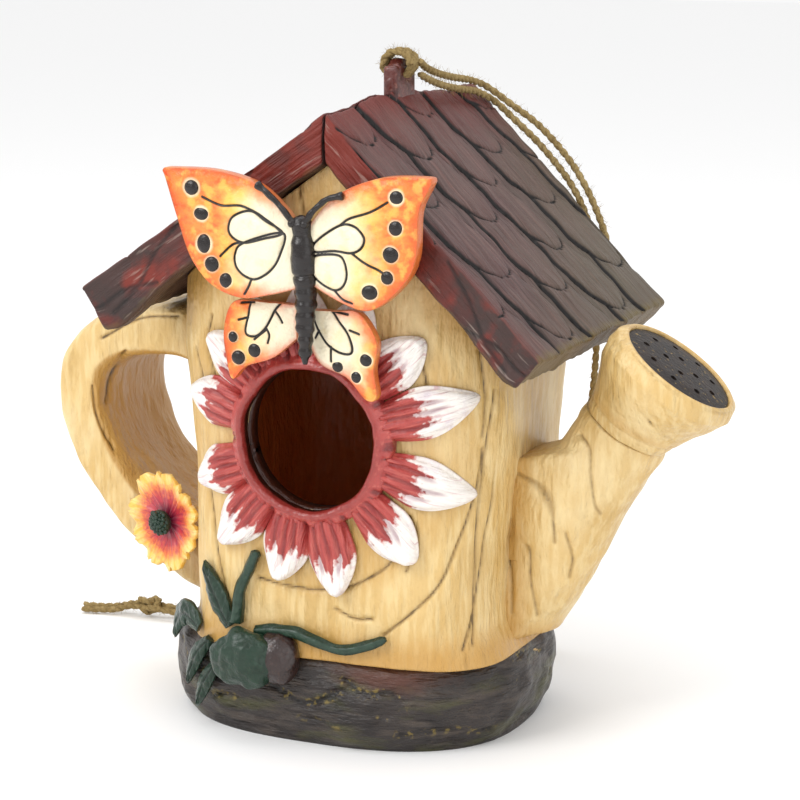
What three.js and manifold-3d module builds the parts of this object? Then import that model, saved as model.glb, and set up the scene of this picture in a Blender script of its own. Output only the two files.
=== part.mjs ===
// A cast-resin birdhouse in the shape of a watering can, standing on a rock, with a shingled
// roof, a flower round its entrance, a butterfly, a clean-out stopper and a twine hanging loop.
// Millimetres. X runs from the handle to the spout, Y to the back, Z up; Z = 0 is the underside.
import * as THREE from 'three';
import { mergeVertices } from 'three/addons/utils/BufferGeometryUtils.js';
import Module from 'manifold-3d';

const wasm = await Module();
wasm.setup();

// ---------------------------------------------------------------- driving dimensions
const GAP = 0.3;                                     // left between pieces that touch

const BASE = { x: -6.5, halfWidth: 63.5, halfDepth: 52, squareness: 2.6, top: 31, rightRise: 1 };
const BASE_PROFILE = [[0, 0.9], [7, 0.965], [17, 1], [26, 0.985], [40, 0.93]];   // height, swell

const CAN = { x: -1.5, halfDepth: 50, squareness: 4, bottom: 29.5, floor: 6, wall: 6, top: 215 };
const CAN_HALF_WIDTHS = [[25, 57.5], [40, 53.5], [85, 54], [125, 57.5], [220, 57.5]]; // height, width

const RIDGE = { x: 4, z: 205 };
const EAVES = { left: { x: -80, z: 146, thick: 13 }, right: { x: 78, z: 134, thick: 12 } };
const ROOF = { front: -60, depth: 119, ridgeSetback: 7 };

const LUG = { y: 3.5, z: 209.4, radius: 8, eye: 4.5, thick: 5, foot: 194 };

const HANDLE = { y: 5, halfDepth: 26, thick: 16, rootThick: 24 };
const HANDLE_LINE = [[-44, 122], [-70, 125.5], [-90, 121], [-101, 112], [-104.5, 100],
  [-103, 89], [-97, 76.5], [-83, 59.5], [-67, 50], [-44, 43]];

const SPOUT_LINE = [[34, 22], [41.9, 34.3], [57.9, 58.7], [70.2, 80.1], [84.7, 103.4]];
const SPOUT_RADII = [[0, 18.5], [0.35, 17.5], [0.8, 16.2], [1, 15]];     // along the line, radius
const ROSE = { centre: [102, 0, 124.3], normal: [0.58, 0.02, 0.8] };
const ROSE_PROFILE = [[0, 15], [0.3, 17.5], [0.62, 22], [0.8, 23.5], [0.95, 22.5], [1, 20.6]];
const PLATE = { radius: 19, thick: 2.2, holes: 12, holeRadius: 1.1 };

const ENTRY = { x: -1.4, z: 102.5, radius: 22.7, rimWidth: 5.4, rimProud: 6.5 };
const PETAL = { start: 28.4, thick: 5, halfAngle: 0.2, clearance: 0.8 };
const PETALS = [                                     // degrees round the entrance, tip distance
  [16, 53], [43, 49.5], [69, 49], [93, 49], [117, 48], [140, 47.5], [166, 47], [-158, 46.5],
  [-132, 50], [-105.5, 48.5], [-80, 50.7], [-47, 50], [-18, 52],
];

const WING = { upperBack: -61, lowerBack: -56.9, upperThick: 5, lowerThick: 3.8 };
const BUTTERFLY_LINE = [[3, 0, 129], [3.4, 0, 150], [2.8, 0, 166], [2, 0, 175]];

const BLOOM = { x: -65.5, y: -28.2, z: 63.8, radius: 16.5, lobes: 10, thick: 3, cup: 3, turn: -19.5 };
const BUD = { x: -25.3, y: -56, z: 30.5, size: [11.5, 6.5, 9.2] };
const STONE = { x: -15.5, y: -53, z: 29, size: [8.5, 6.5, 9.5] };

const STOPPER = { z: 62, hole: 16, plug: 15.5, flange: 19.5, flangeThick: 2.6, depth: 8 };
const TWINE = { radius: 1.3, sides: 8, step: 6.5 };
const KNOT = { x: -122, y: 55.4, z: 4.9, size: [6, 4.6, 4.5] };

// ---------------------------------------------------------------- shaping helpers
/** Straight-line value of a [position, value] profile. */
function along(profile, position) {
  const next = profile.findIndex(([at]) => at >= position);
  if (next < 0) return profile.at(-1)[1];
  if (next === 0) return profile[0][1];
  const [[from, a], [to, b]] = [profile[next - 1], profile[next]];
  return a + (b - a) * (position - from) / (to - from);
}

/** Point of a rounded box outline: squareness 2 is an ellipse, 4 nearly a box. */
function roundedBox(angle, halfX, halfY, squareness) {
  const bend = (value) => Math.sign(value) * Math.abs(value) ** (2 / squareness);
  return [halfX * bend(Math.cos(angle)), halfY * bend(Math.sin(angle))];
}

/** Solid of a closed three.js geometry, its triangles turned outward. */
function solidOf(geometry) {
  const bare = geometry.clone();
  bare.deleteAttribute('normal');
  bare.deleteAttribute('uv');
  const merged = mergeVertices(bare, 1e-4);
  const points = merged.attributes.position;
  const corners = [];
  let volume = 0;
  const [a, b, c] = [new THREE.Vector3(), new THREE.Vector3(), new THREE.Vector3()];
  for (let i = 0; i < merged.index.count; i += 3) {
    const [p, q, r] = [0, 1, 2].map((k) => merged.index.getX(i + k));
    if (p === q || q === r || r === p) continue;
    corners.push([p, q, r]);
    a.fromBufferAttribute(points, p);
    b.fromBufferAttribute(points, q);
    c.fromBufferAttribute(points, r);
    volume += a.dot(b.cross(c));
  }
  const outward = volume < 0 ? corners.map(([p, q, r]) => [p, r, q]) : corners;
  const mesh = { numProp: 3, vertProperties: new Float32Array(points.array),
    triVerts: new Uint32Array(outward.flat()) };
  return new wasm.Manifold(new wasm.Mesh(mesh));
}

/** The geometry of a finished solid. */
function geometryOf(solid) {
  const mesh = solid.getMesh();
  const geometry = new THREE.BufferGeometry();
  geometry.setAttribute('position', new THREE.BufferAttribute(mesh.vertProperties, 3));
  geometry.setIndex(new THREE.BufferAttribute(mesh.triVerts, 1));
  geometry.computeVertexNormals();
  return geometry;
}

/** Moves every vertex of a geometry to place(x, y, z). */
function warp(geometry, place) {
  const points = geometry.attributes.position;
  for (let i = 0; i < points.count; i += 1) {
    points.setXYZ(i, ...place(points.getX(i), points.getY(i), points.getZ(i)));
  }
  return geometry;
}

/** A box of unit sides whose grid is moved to place(u, v, w), each from 0 to 1. */
function warpedBox(segments, place) {
  const box = new THREE.BoxGeometry(1, 1, 1, ...segments);
  return solidOf(warp(box, (x, y, z) => place(x + 0.5, y + 0.5, z + 0.5)));
}

/** A drum whose rings are moved to place(angle, t, r): t runs from end to end, r is 0 or 1. */
function warpedDrum(sides, rings, place) {
  const drum = new THREE.CylinderGeometry(1, 1, 1, sides, rings);
  return solidOf(warp(drum, (x, y, z) => place(Math.atan2(z, x), y + 0.5, Math.hypot(x, z))));
}

/** An outline in X and Z, extruded from y = front back to y = back. */
function standingPlate(shape, front, back, curveSegments = 3) {
  const options = { depth: back - front, bevelEnabled: false, curveSegments };
  const geometry = new THREE.ExtrudeGeometry(shape, options);
  return solidOf(geometry.rotateX(Math.PI / 2).translate(0, back, 0));
}

/** A round bar along a smooth curve through the given points. */
function bar(points, radius, sides, step) {
  const curve = new THREE.CatmullRomCurve3(points.map((p) => new THREE.Vector3(...p)));
  const section = new THREE.Shape();
  for (let i = 0; i < sides; i += 1) {
    const angle = 2 * Math.PI * i / sides;
    section[i ? 'lineTo' : 'moveTo'](radius * Math.cos(angle), radius * Math.sin(angle));
  }
  const steps = Math.round(curve.getLength() / step);
  const options = { steps, extrudePath: curve, bevelEnabled: false };
  return solidOf(new THREE.ExtrudeGeometry(section, options));
}

/** A strap or pipe along a line of [x, z] points in the plane y = 0. */
function pipe(line, sides, rings, squareness, halfThick, halfDepth) {
  const curve = new THREE.CatmullRomCurve3(line.map(([x, z]) => new THREE.Vector3(x, 0, z)));
  return warpedDrum(sides, rings, (angle, t, r) => {
    const centre = curve.getPointAt(t);
    const tangent = curve.getTangentAt(t);
    const [out, side] = roundedBox(angle, halfThick(t) * r, halfDepth(t) * r, squareness);
    return [centre.x - tangent.z * out, side, centre.z + tangent.x * out];
  });
}

function egg({ x, y, z, size }, grow = 0) {
  const geometry = new THREE.SphereGeometry(1, 14, 9);
  geometry.scale(...size.map((half) => half + grow)).translate(x, y, z);
  return solidOf(geometry);
}

// ---------------------------------------------------------------- rock, can and roof
const birdhouse = new THREE.Group();

function addPiece(name, solid, finish) {
  const mesh = new THREE.Mesh(geometryOf(solid), finish);
  mesh.name = name;
  birdhouse.add(mesh);
}

function paint(color, roughness = 0.55) {
  return new THREE.MeshStandardMaterial({ color, roughness, metalness: 0 });
}

const CREAM = paint('#e3c68f');
const ROCK = paint('#3b3634', 0.7);
const SHINGLE = paint('#5f4d4b', 0.65);
const MAHOGANY = paint('#6a2a20', 0.6);
const LEAF = paint('#24402f', 0.5);

/** Height of the rock's top: it rises a little under the spout. */
function rockTop(x) {
  return BASE.top + BASE.rightRise * THREE.MathUtils.smoothstep(x, 10, 55);
}

function rock(grow = 0) {
  return warpedDrum(48, 6, (angle, t, r) => {
    const flat = roundedBox(angle, BASE.halfWidth * r, BASE.halfDepth * r, BASE.squareness);
    const swell = along(BASE_PROFILE, t * BASE.top) + grow / BASE.halfDepth;
    const x = BASE.x + flat[0] * swell;
    return [x, flat[1] * swell, t * (rockTop(x) + grow) - (1 - t) * grow];
  });
}

function canHalfWidth(z) {
  return along(CAN_HALF_WIDTHS, z);
}

/** The can's outline from one height to another, grown or (with a minus) shrunk. */
function canBlock(bottom, top, grow = 0) {
  return warpedDrum(48, 8, (angle, t, r) => {
    const z = bottom + (top - bottom) * t;
    const halfX = (canHalfWidth(z) + grow) * r;
    const [x, y] = roundedBox(angle, halfX, (CAN.halfDepth + grow) * r, CAN.squareness);
    return [CAN.x + x, y, z];
  });
}

/** The room the can takes up, with the gap all round it and below it. */
function canRoom() {
  const room = canBlock(CAN.bottom, CAN.top, GAP);
  return room.add(room.translate([0, 0, -GAP]));
}

/** The largest of the bodies that a cut has left. */
function largestPart(solid) {
  return solid.decompose().sort((a, b) => b.volume() - a.volume())[0];
}

/** A piece cut back to clear the can and the rock. */
function clearOfHouse(solid) {
  return largestPart(solid.subtract(canRoom()).subtract(rock(GAP)));
}

/** Front surface of the can at (x, z). */
function wallY(x, z) {
  const across = Math.min(Math.abs((x - CAN.x) / canHalfWidth(z)), 0.97);
  return -CAN.halfDepth * (1 - across ** CAN.squareness) ** (1 / CAN.squareness);
}

/** The slope's direction, its inward normal and the eave's upper and lower corners. */
function slope(eave, grow = 0) {
  const down = new THREE.Vector2(eave.x - RIDGE.x, eave.z - RIDGE.z).normalize();
  const inward = new THREE.Vector2(down.y, -down.x).multiplyScalar(Math.sign(down.x));
  const corner = new THREE.Vector2(eave.x, eave.z).addScaledVector(down, grow);
  const upper = corner.clone().addScaledVector(inward, -grow);
  const lower = corner.clone().addScaledVector(inward, eave.thick + grow);
  return { down, inward, upper, lower };
}

/** Where the line through an eave corner, run up the slope, reaches x. */
function heightOn(corner, down, x) {
  return corner.y + down.y * (x - corner.x) / down.x;
}

/** Where the two slopes' lower faces meet. */
function underRidge(grow = 0) {
  const [left, right] = [slope(EAVES.left, grow), slope(EAVES.right, grow)];
  const fall = right.down.y / right.down.x - left.down.y / left.down.x;
  const base = left.lower.y - left.lower.x * left.down.y / left.down.x;
  const other = right.lower.y - right.lower.x * right.down.y / right.down.x;
  const x = (base - other) / fall;
  return new THREE.Vector2(x, heightOn(left.lower, left.down, x));
}

function roofSlab(side, grow = 0) {
  const eave = EAVES[side];
  const { down, upper, lower } = slope(eave, grow);
  const outward = Math.sign(down.x);
  const joint = outward * (GAP / 2 - grow);
  const under = underRidge(grow);
  const ridgeTop = new THREE.Vector2(RIDGE.x + joint, heightOn(upper, down, RIDGE.x + joint));
  const ridgeLow = new THREE.Vector2(under.x + joint, heightOn(lower, down, under.x + joint));
  return warpedBox([6, 1, 1], (u, v, w) => {
    const top = ridgeTop.clone().lerp(upper, u);
    const bottom = ridgeLow.clone().lerp(lower, u);
    const at = top.lerp(bottom, w);
    const y = ROOF.front + ROOF.ridgeSetback * (1 - u) + (ROOF.depth + 2 * grow) * v - grow;
    return [at.x, y, at.y];
  });
}

/** Everything under the roof, clear of it by the gap. */
function roomUnderRoof() {
  const far = 120;
  const [left, right] = [slope(EAVES.left, GAP), slope(EAVES.right, GAP)];
  const under = underRidge(GAP);
  const outline = new THREE.Shape();
  outline.moveTo(-far, 0);
  outline.lineTo(far, 0);
  outline.lineTo(far, heightOn(right.lower, right.down, far));
  outline.lineTo(under.x, under.y);
  outline.lineTo(-far, heightOn(left.lower, left.down, -far));
  return standingPlate(outline, -far, far);
}

/** A round plug along Y, for holes in the front and back walls. */
function wallPlug(x, z, radius, from, to) {
  const drum = new THREE.CylinderGeometry(radius, radius, to - from, 40);
  return solidOf(drum.translate(0, (from + to) / 2, 0).translate(x, 0, z));
}

function addRockAndCan() {
  addPiece('rock_base', rock().subtract(canRoom()), ROCK);
  const inside = canBlock(CAN.bottom + CAN.floor, CAN.top + 10, -CAN.wall);
  const entry = wallPlug(ENTRY.x, ENTRY.z, ENTRY.radius, -CAN.halfDepth - 10, 0);
  const cleanOut = wallPlug(CAN.x, STOPPER.z, STOPPER.hole, 0, CAN.halfDepth + 10);
  const shell = canBlock(CAN.bottom, CAN.top).intersect(roomUnderRoof());
  addPiece('can_body', shell.subtract(inside).subtract(entry).subtract(cleanOut), CREAM);
}

function addRoof() {
  addPiece('roof_left_slab', roofSlab('left'), SHINGLE);
  addPiece('roof_right_slab', roofSlab('right'), SHINGLE);
}

function addLug() {
  const outline = new THREE.Shape();
  outline.moveTo(LUG.y - LUG.radius, LUG.foot);
  outline.lineTo(LUG.y + LUG.radius, LUG.foot);
  outline.absarc(LUG.y, LUG.z, LUG.radius, 0, Math.PI);
  const eye = new THREE.Path();
  eye.absarc(LUG.y, LUG.z, LUG.eye, 0, 2 * Math.PI);
  outline.holes.push(eye);
  const options = { depth: LUG.thick, bevelEnabled: false, curveSegments: 12 };
  const geometry = new THREE.ExtrudeGeometry(outline, options).translate(0, 0, -LUG.thick / 2);
  const arch = solidOf(warp(geometry, (y, z, x) => [RIDGE.x + x, y, z]));
  const clear = arch.subtract(roofSlab('left', GAP)).subtract(roofSlab('right', GAP));
  const aboveRidge = new THREE.BoxGeometry(80, 80, 60).translate(RIDGE.x, 0, RIDGE.z + 24);
  addPiece('ridge_lug', clear.intersect(solidOf(aboveRidge)), MAHOGANY);
}

// ---------------------------------------------------------------- handle and spout
function addHandle() {
  const swell = (t) => 0.5 * (HANDLE.thick
    + (HANDLE.rootThick - HANDLE.thick) * Math.abs(2 * t - 1) ** 6);
  const strap = pipe(HANDLE_LINE, 16, 26, 3.4, swell, () => HANDLE.halfDepth);
  addPiece('carrying_handle', clearOfHouse(strap.translate(0, HANDLE.y, 0)), CREAM);
}

function addSpout() {
  const radius = (t) => along(SPOUT_RADII, t);
  const tube = pipe(SPOUT_LINE, 24, 14, 2, radius, radius);
  addPiece('spout_tube', clearOfHouse(tube), CREAM);
}

/** Turns things built about +Z to the rose's own direction, with its face centre at the origin. */
function roseTurn() {
  const normal = new THREE.Vector3(...ROSE.normal).normalize();
  const turn = new THREE.Quaternion().setFromUnitVectors(new THREE.Vector3(0, 0, 1), normal);
  return new THREE.Matrix4().compose(new THREE.Vector3(...ROSE.centre), turn,
    new THREE.Vector3(1, 1, 1));
}

function addRose() {
  const [neckX, neckZ] = SPOUT_LINE.at(-1);
  const [beforeX, beforeZ] = SPOUT_LINE.at(-2);
  const run = new THREE.Vector3(neckX - beforeX, 0, neckZ - beforeZ).normalize();
  const neck = new THREE.Vector3(neckX, 0, neckZ).addScaledVector(run, GAP);
  const face = new THREE.Vector3(...ROSE.centre);
  const facing = new THREE.Vector3(...ROSE.normal).normalize();
  const bell = warpedDrum(28, 10, (angle, t, r) => {
    const centre = neck.clone().lerp(face, t);
    const ahead = run.clone().lerp(facing, t).normalize();
    const across = new THREE.Vector3(0, 1, 0).cross(ahead).normalize();
    const side = ahead.clone().cross(across);
    const radius = along(ROSE_PROFILE, t) * r;
    centre.addScaledVector(across, radius * Math.cos(angle));
    centre.addScaledVector(side, radius * Math.sin(angle));
    return centre.toArray();
  });
  const recess = new THREE.CylinderGeometry(PLATE.radius + GAP, PLATE.radius + GAP, 10, 28);
  recess.rotateX(Math.PI / 2).translate(0, 0, 5 - PLATE.thick - GAP).applyMatrix4(roseTurn());
  const clear = bell.subtract(solidOf(recess)).subtract(roofSlab('right', GAP));
  addPiece('spout_rose', clear, CREAM);
}

function addRosePlate() {
  const outline = new THREE.Shape();
  outline.absarc(0, 0, PLATE.radius, 0, 2 * Math.PI);
  for (let i = 0; i < PLATE.holes; i += 1) {
    const inner = i < 4;
    const angle = 2 * Math.PI * (inner ? i / 4 + 0.1 : (i - 4) / (PLATE.holes - 4));
    const distance = PLATE.radius * (inner ? 0.32 : 0.7);
    const hole = new THREE.Path();
    hole.absarc(distance * Math.cos(angle), distance * Math.sin(angle), PLATE.holeRadius,
      0, 2 * Math.PI);
    outline.holes.push(hole);
  }
  const options = { depth: PLATE.thick, bevelEnabled: false, curveSegments: 4 };
  const geometry = new THREE.ExtrudeGeometry(outline, options);
  geometry.translate(0, 0, -PLATE.thick).applyMatrix4(roseTurn());
  addPiece('rose_plate', solidOf(geometry), paint('#35282a', 0.6));
}

// ---------------------------------------------------------------- flower round the entrance
function addEntryRim() {
  const profile = [[0, 0], [0, ENTRY.rimProud - 1.5], [1.5, ENTRY.rimProud],
    [ENTRY.rimWidth - 1.5, ENTRY.rimProud], [ENTRY.rimWidth, ENTRY.rimProud - 1.5],
    [ENTRY.rimWidth, 0], [0, 0]];
  const section = profile.map(([out, up]) => new THREE.Vector2(ENTRY.radius + out, up));
  const ring = warp(new THREE.LatheGeometry(section, 32), (x, up, z) => [
    ENTRY.x + x, wallY(ENTRY.x + x, ENTRY.z + z) - GAP - up, ENTRY.z + z]);
  addPiece('entry_rim', solidOf(ring), paint('#a5382c', 0.5));
}

/** Half width of a petal, from its root (u = 0) to its tip (u = 1). */
function petalHalfWidth(u, tip) {
  const root = PETAL.start * Math.tan(PETAL.halfAngle) * 0.97;
  const widest = 1 + 0.3 * Math.sin(Math.PI * Math.min(u * 1.1, 1));
  const taper = Math.sqrt(Math.max(1 - (Math.max(u - 0.35, 0) / 0.65) ** 2.4, 0.02));
  return Math.min(root * widest * taper, (PETAL.start + u * (tip - PETAL.start)) * 0.2);
}

function petal(degrees, tip) {
  const angle = THREE.MathUtils.degToRad(degrees);
  return warpedBox([6, 2, 1], (u, v, w) => {
    const reach = PETAL.start + u * (tip - PETAL.start);
    const across = (v - 0.5) * 2 * petalHalfWidth(u, tip);
    const x = ENTRY.x + reach * Math.cos(angle) - across * Math.sin(angle);
    const z = ENTRY.z + reach * Math.sin(angle) + across * Math.cos(angle);
    const crown = PETAL.thick * (1 - 0.35 * (2 * v - 1) ** 2) * (1 - 0.25 * u);
    return [x, wallY(x, z) - PETAL.clearance - w * crown, z];
  });
}

function addPetals() {
  PETALS.forEach(([degrees, tip], i) => {
    const name = `petal_${String(i + 1).padStart(2, '0')}`;
    addPiece(name, petal(degrees, tip), paint('#c9726a', 0.5));
  });
}

// ---------------------------------------------------------------- butterfly
/** A wing outline: [x, z] points joined by one smooth curve, closed at its root by a line. */
function wingOutline(points) {
  const outline = new THREE.Shape();
  outline.moveTo(...points[0]);
  outline.splineThru(points.slice(1).map((point) => new THREE.Vector2(...point)));
  return outline;
}

/** The long body as a spindle of rings, thickest behind the head. */
function butterflyBody(grow = 0) {
  const curve = new THREE.CatmullRomCurve3(BUTTERFLY_LINE.map((p) => new THREE.Vector3(...p)));
  const thickness = [[0, 0.4], [0.06, 2.2], [0.45, 3.6], [0.72, 4.2], [0.86, 3], [0.94, 3.5],
    [1, 1.2]];
  return warpedDrum(12, 16, (angle, t, r) => {
    const centre = curve.getPointAt(t);
    const radius = (along(thickness, t) + grow) * r;
    const y = WING.upperBack - 4.2 + 1.05 * radius * Math.sin(angle);
    const lift = t > 0.5 ? grow : -grow;
    return [centre.x + radius * Math.cos(angle), y, centre.z + (t === 0 || t === 1 ? lift : 0)];
  });
}

function addWings() {
  const black = paint('#241a17', 0.35);
  const wing = paint('#e9a35c', 0.4);
  const upperFront = WING.upperBack - WING.upperThick;
  const lowerFront = WING.lowerBack - WING.lowerThick;
  const keepOff = butterflyBody(GAP);
  const upperLeft = wingOutline([[2.1, 167.6], [-2.9, 175.6], [-12.9, 183.6], [-26.9, 187.1], [-44.9, 186.4],
    [-40.4, 171.6], [-35.9, 159.6], [-28.9, 151.6], [-18.9, 148.1], [-8.9, 149.6], [2.1, 152.6]]);
  const upperRight = wingOutline([[2.1, 167.6], [8.1, 176.1], [16.1, 182.9], [29.1, 187.6], [45.1, 187.6],
    [41.1, 177.6], [40.1, 163.6], [35.1, 154.6], [25.1, 147.2], [15.1, 149.1], [2.1, 155.6]]);
  const lowerLeft = wingOutline([[-2.1, 146.2], [-15.1, 146.5], [-24.1, 145.7], [-27.5, 136.7],
    [-26.5, 126.7], [-24.6, 121.2], [-20.1, 125.5], [-10.6, 129], [-2.1, 135.7]]);
  const lowerRight = wingOutline([[1.9, 145.2], [10.9, 145.2], [18.9, 145.2], [24.9, 136.7], [23.9, 127.7],
    [24.9, 119.7], [21.4, 118.3], [14.9, 124.7], [5.9, 128.5], [0.9, 136.7]]);
  const plates = {
    wing_upper_left: standingPlate(upperLeft, upperFront, WING.upperBack).subtract(keepOff),
    wing_upper_right: standingPlate(upperRight, upperFront, WING.upperBack).subtract(keepOff),
    wing_lower_left: standingPlate(lowerLeft, lowerFront, WING.lowerBack),
    wing_lower_right: standingPlate(lowerRight, lowerFront, WING.lowerBack),
  };
  for (const [name, plate] of Object.entries(plates)) addPiece(name, largestPart(plate), wing);
  addPiece('butterfly_body', butterflyBody(), black);
  const y = upperFront - 1.7;
  const feelers = {
    antenna_left: [[0, y, 173.5], [-3, y, 176.5], [-7, y, 180.5], [-12.5, y, 184.2]],
    antenna_right: [[4.5, y, 173.5], [7.5, y, 177], [12, y, 180.8], [17, y, 181.8]],
  };
  for (const [name, line] of Object.entries(feelers)) {
    addPiece(name, largestPart(bar(line, 1.2, 6, 3).subtract(keepOff)), black);
  }
}

// ---------------------------------------------------------------- plants on the front
/** Front surface that a plant lies on: the can, or the rock where that stands further out. */
function groundY(x, z) {
  const across = Math.min(Math.abs((x - BASE.x) / BASE.halfWidth), 0.99);
  const depth = BASE.halfDepth * (1 - across ** BASE.squareness) ** (1 / BASE.squareness);
  const rockY = z < rockTop(x) + 14 ? -depth * along(BASE_PROFILE, z) : 0;
  const inside = Math.abs(x - CAN.x) < 0.96 * canHalfWidth(z) && z > BASE.top;
  return Math.min(rockY, inside ? wallY(x, z) : 0);
}

function addBloom() {
  const disc = warpedDrum(40, 2, (angle, t, r) => {
    const lobe = 1 - 0.16 * (1 - Math.abs(Math.sin(BLOOM.lobes * angle / 2))) ** 2;
    const radius = BLOOM.radius * r * lobe * (t === 0.5 ? 1 : 0.94);
    return [radius * Math.cos(angle), -BLOOM.thick * t - BLOOM.cup * r, radius * Math.sin(angle)];
  });
  const turned = disc.rotate([0, 0, BLOOM.turn]).translate([BLOOM.x, BLOOM.y, BLOOM.z]);
  addPiece('small_flower', turned, paint('#dd7a3a', 0.45));
  const turn = THREE.MathUtils.degToRad(BLOOM.turn);
  const ahead = BLOOM.thick + BLOOM.cup / 3 + GAP + 2.2;
  const eye = egg({ x: BLOOM.x + Math.sin(turn) * ahead, y: BLOOM.y - Math.cos(turn) * ahead,
    z: BLOOM.z, size: [4.4, 2.1, 4.8] });
  addPiece('small_flower_eye', eye, paint('#2b2a20', 0.5));
}

/** A leaf along a line of [x, z] points, lying on what is behind it. */
function leaf(line, halfWidth, thick) {
  const curve = new THREE.CatmullRomCurve3(line.map(([x, z]) => new THREE.Vector3(x, 0, z)));
  return warpedBox([8, 2, 1], (u, v, w) => {
    const centre = curve.getPointAt(u);
    const tangent = curve.getTangentAt(u);
    const across = (v - 0.5) * 2 * halfWidth * Math.max(Math.sin(Math.PI * (0.12 + 0.86 * u)), 0.1);
    const x = centre.x - tangent.z * across;
    const z = centre.z + tangent.x * across;
    const crown = thick * (v === 0.5 ? 1 : 0.6);
    return [x, groundY(x, z) - 2 * GAP - w * crown, z];
  });
}

function addPlants() {
  const onWall = (line, proud) => line.map(([x, z]) => [x, groundY(x, z) - proud, z]);
  const bud = clearOfHouse(egg(BUD));
  const budRoom = egg(BUD, GAP);
  const stone = clearOfHouse(egg(STONE));
  const stem = bar(onWall([[-21.8, 62.5], [-25, 56], [-28.2, 48.5], [-29.5, 41]], 3), 2.3, 8, 4);
  const vine = bar(onWall([[-18, 37.5], [-10, 38.4], [-3, 37], [6.5, 34.6], [15, 36], [23, 39.5]],
    2.4), 1.8, 8, 4);
  const stemRoom = bar(onWall([[-21.8, 64.5], [-25, 56], [-28.2, 48.5], [-29.5, 38]], 3), 2.7, 8, 4);
  const solids = {
    leaf_upright: leaf([[-32, 38], [-37.5, 46], [-43, 57]], 4, 3),
    leaf_side: leaf([[-47, 33.5], [-53, 36.5], [-58, 33], [-60, 26]], 4, 3),
    leaf_long: leaf([[-41, 31], [-47, 24], [-51.5, 13]], 2.8, 2.6),
    leaf_drooping: leaf([[-37.5, 24], [-43.5, 15], [-47.5, 6]], 2.6, 2.6),
  };
  for (const [name, solid] of Object.entries(solids)) {
    addPiece(name, clearOfHouse(solid.subtract(budRoom).subtract(stemRoom)), LEAF);
  }
  addPiece('leaf_bud', bud, LEAF);
  addPiece('brown_stone', stone.subtract(budRoom), paint('#34201a', 0.6));
  addPiece('flower_stem', clearOfHouse(stem.subtract(budRoom)), LEAF);
  addPiece('vine', clearOfHouse(vine.subtract(budRoom).subtract(egg(STONE, GAP))), LEAF);
}

// ---------------------------------------------------------------- stopper and twine
function addStopper() {
  const back = CAN.halfDepth;
  const outer = back + GAP + STOPPER.flangeThick;
  const profile = [[0, back - STOPPER.depth], [STOPPER.plug - 1, back - STOPPER.depth],
    [STOPPER.plug, back - STOPPER.depth + 1], [STOPPER.plug, back + GAP],
    [STOPPER.flange, back + GAP], [STOPPER.flange, outer - 1], [STOPPER.flange - 1, outer],
    [0, outer]];
  const turned = new THREE.LatheGeometry(profile.map(([r, y]) => new THREE.Vector2(r, y)), 32);
  const tab = new THREE.BoxGeometry(4, 7, 18).translate(0, outer + 3, 0);
  const stopper = solidOf(turned).add(solidOf(tab)).translate([CAN.x, 0, STOPPER.z]);
  addPiece('cleanout_stopper', stopper, paint('#4c3a2e', 0.7));
}

function addTwine() {
  const jute = paint('#a48c5d', 0.9);
  const barZ = LUG.z + (LUG.radius + LUG.eye) / 2;
  const wrap = new THREE.TorusGeometry(1, 0.3, 8, 18);
  const tube = (out, centre) => centre + TWINE.radius * out;
  const hitch = warp(wrap, (x, y, z) => {
    const angle = Math.atan2(y, x);
    const out = (Math.hypot(x, y) - 1) / 0.3;
    const halfX = tube(out, LUG.thick / 2 + 1.1 + TWINE.radius);
    const halfZ = tube(out, (LUG.radius - LUG.eye) / 2 + 1.05 + TWINE.radius);
    return [RIDGE.x + halfX * Math.cos(angle), LUG.y + z / 0.3 * TWINE.radius,
      barZ + halfZ * Math.sin(angle)];
  });
  addPiece('twine_hitch', solidOf(hitch), jute);
  const routes = {
    twine_strand_outer: [[10.2, 5.6, 216.4], [9, 14, 213.6], [8, 26, 210.8], [7.6, 40, 208.4],
      [7.8, 54, 206.4], [10, 64, 203.4], [17, 68.5, 197.4], [28, 69.5, 189.6],
      [40.5, 69, 176.6], [49.5, 68, 161.5], [54.5, 67.5, 146], [56, 67.5, 122],
      [53.5, 69, 92], [46, 72.5, 60], [36, 76, 31], [24, 78.5, 10], [8, 78.5, 2.2],
      [-16, 76, 1.7], [-45, 71.5, 1.7], [-78, 66, 1.7], [-103, 61, 2.2], [-115.6, 57.6, 4.4]],
    twine_strand_inner: [[10.6, 5.6, 212], [10.8, 14, 209.4], [10.3, 26, 206.8],
      [10, 40, 204.6], [10.4, 54, 202.5], [13, 63.6, 198.6], [19, 66.4, 192.6],
      [29, 67, 183.6], [39.5, 67, 171.8], [46, 66.8, 160], [49.5, 66.5, 146],
      [50.5, 66.8, 122], [48, 67.6, 92], [40, 69.6, 60], [30, 72, 31], [19, 73.4, 10],
      [3, 73, 2.2], [-18, 70.5, 1.7], [-45, 66.3, 1.7], [-78, 60.6, 1.7], [-102, 56, 2.2],
      [-115.4, 53.6, 4]],
    twine_tail_outer: [[-128.6, 56.4, 4.4], [-135, 56.8, 2.6], [-142, 56, 1.7],
      [-150, 54.6, 1.7]],
    twine_tail_inner: [[-128.6, 53.6, 4], [-135, 52.6, 2.2], [-141, 51.4, 1.7],
      [-148, 49.6, 1.7]],
  };
  const knotRoom = egg(KNOT, GAP);
  for (const [name, route] of Object.entries(routes)) {
    const strand = bar(route, TWINE.radius, TWINE.sides, TWINE.step).subtract(knotRoom);
    addPiece(name, strand, jute);
  }
  addPiece('twine_knot', egg(KNOT), jute);
}

addRockAndCan();
addRoof();
addLug();
addHandle();
addSpout();
addRose();
addRosePlate();
addEntryRim();
addPetals();
addWings();
addBloom();
addPlants();
addStopper();
addTwine();

export default birdhouse;
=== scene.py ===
"""A watering-can birdhouse in hand-painted cast resin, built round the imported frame."""
import math

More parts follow.
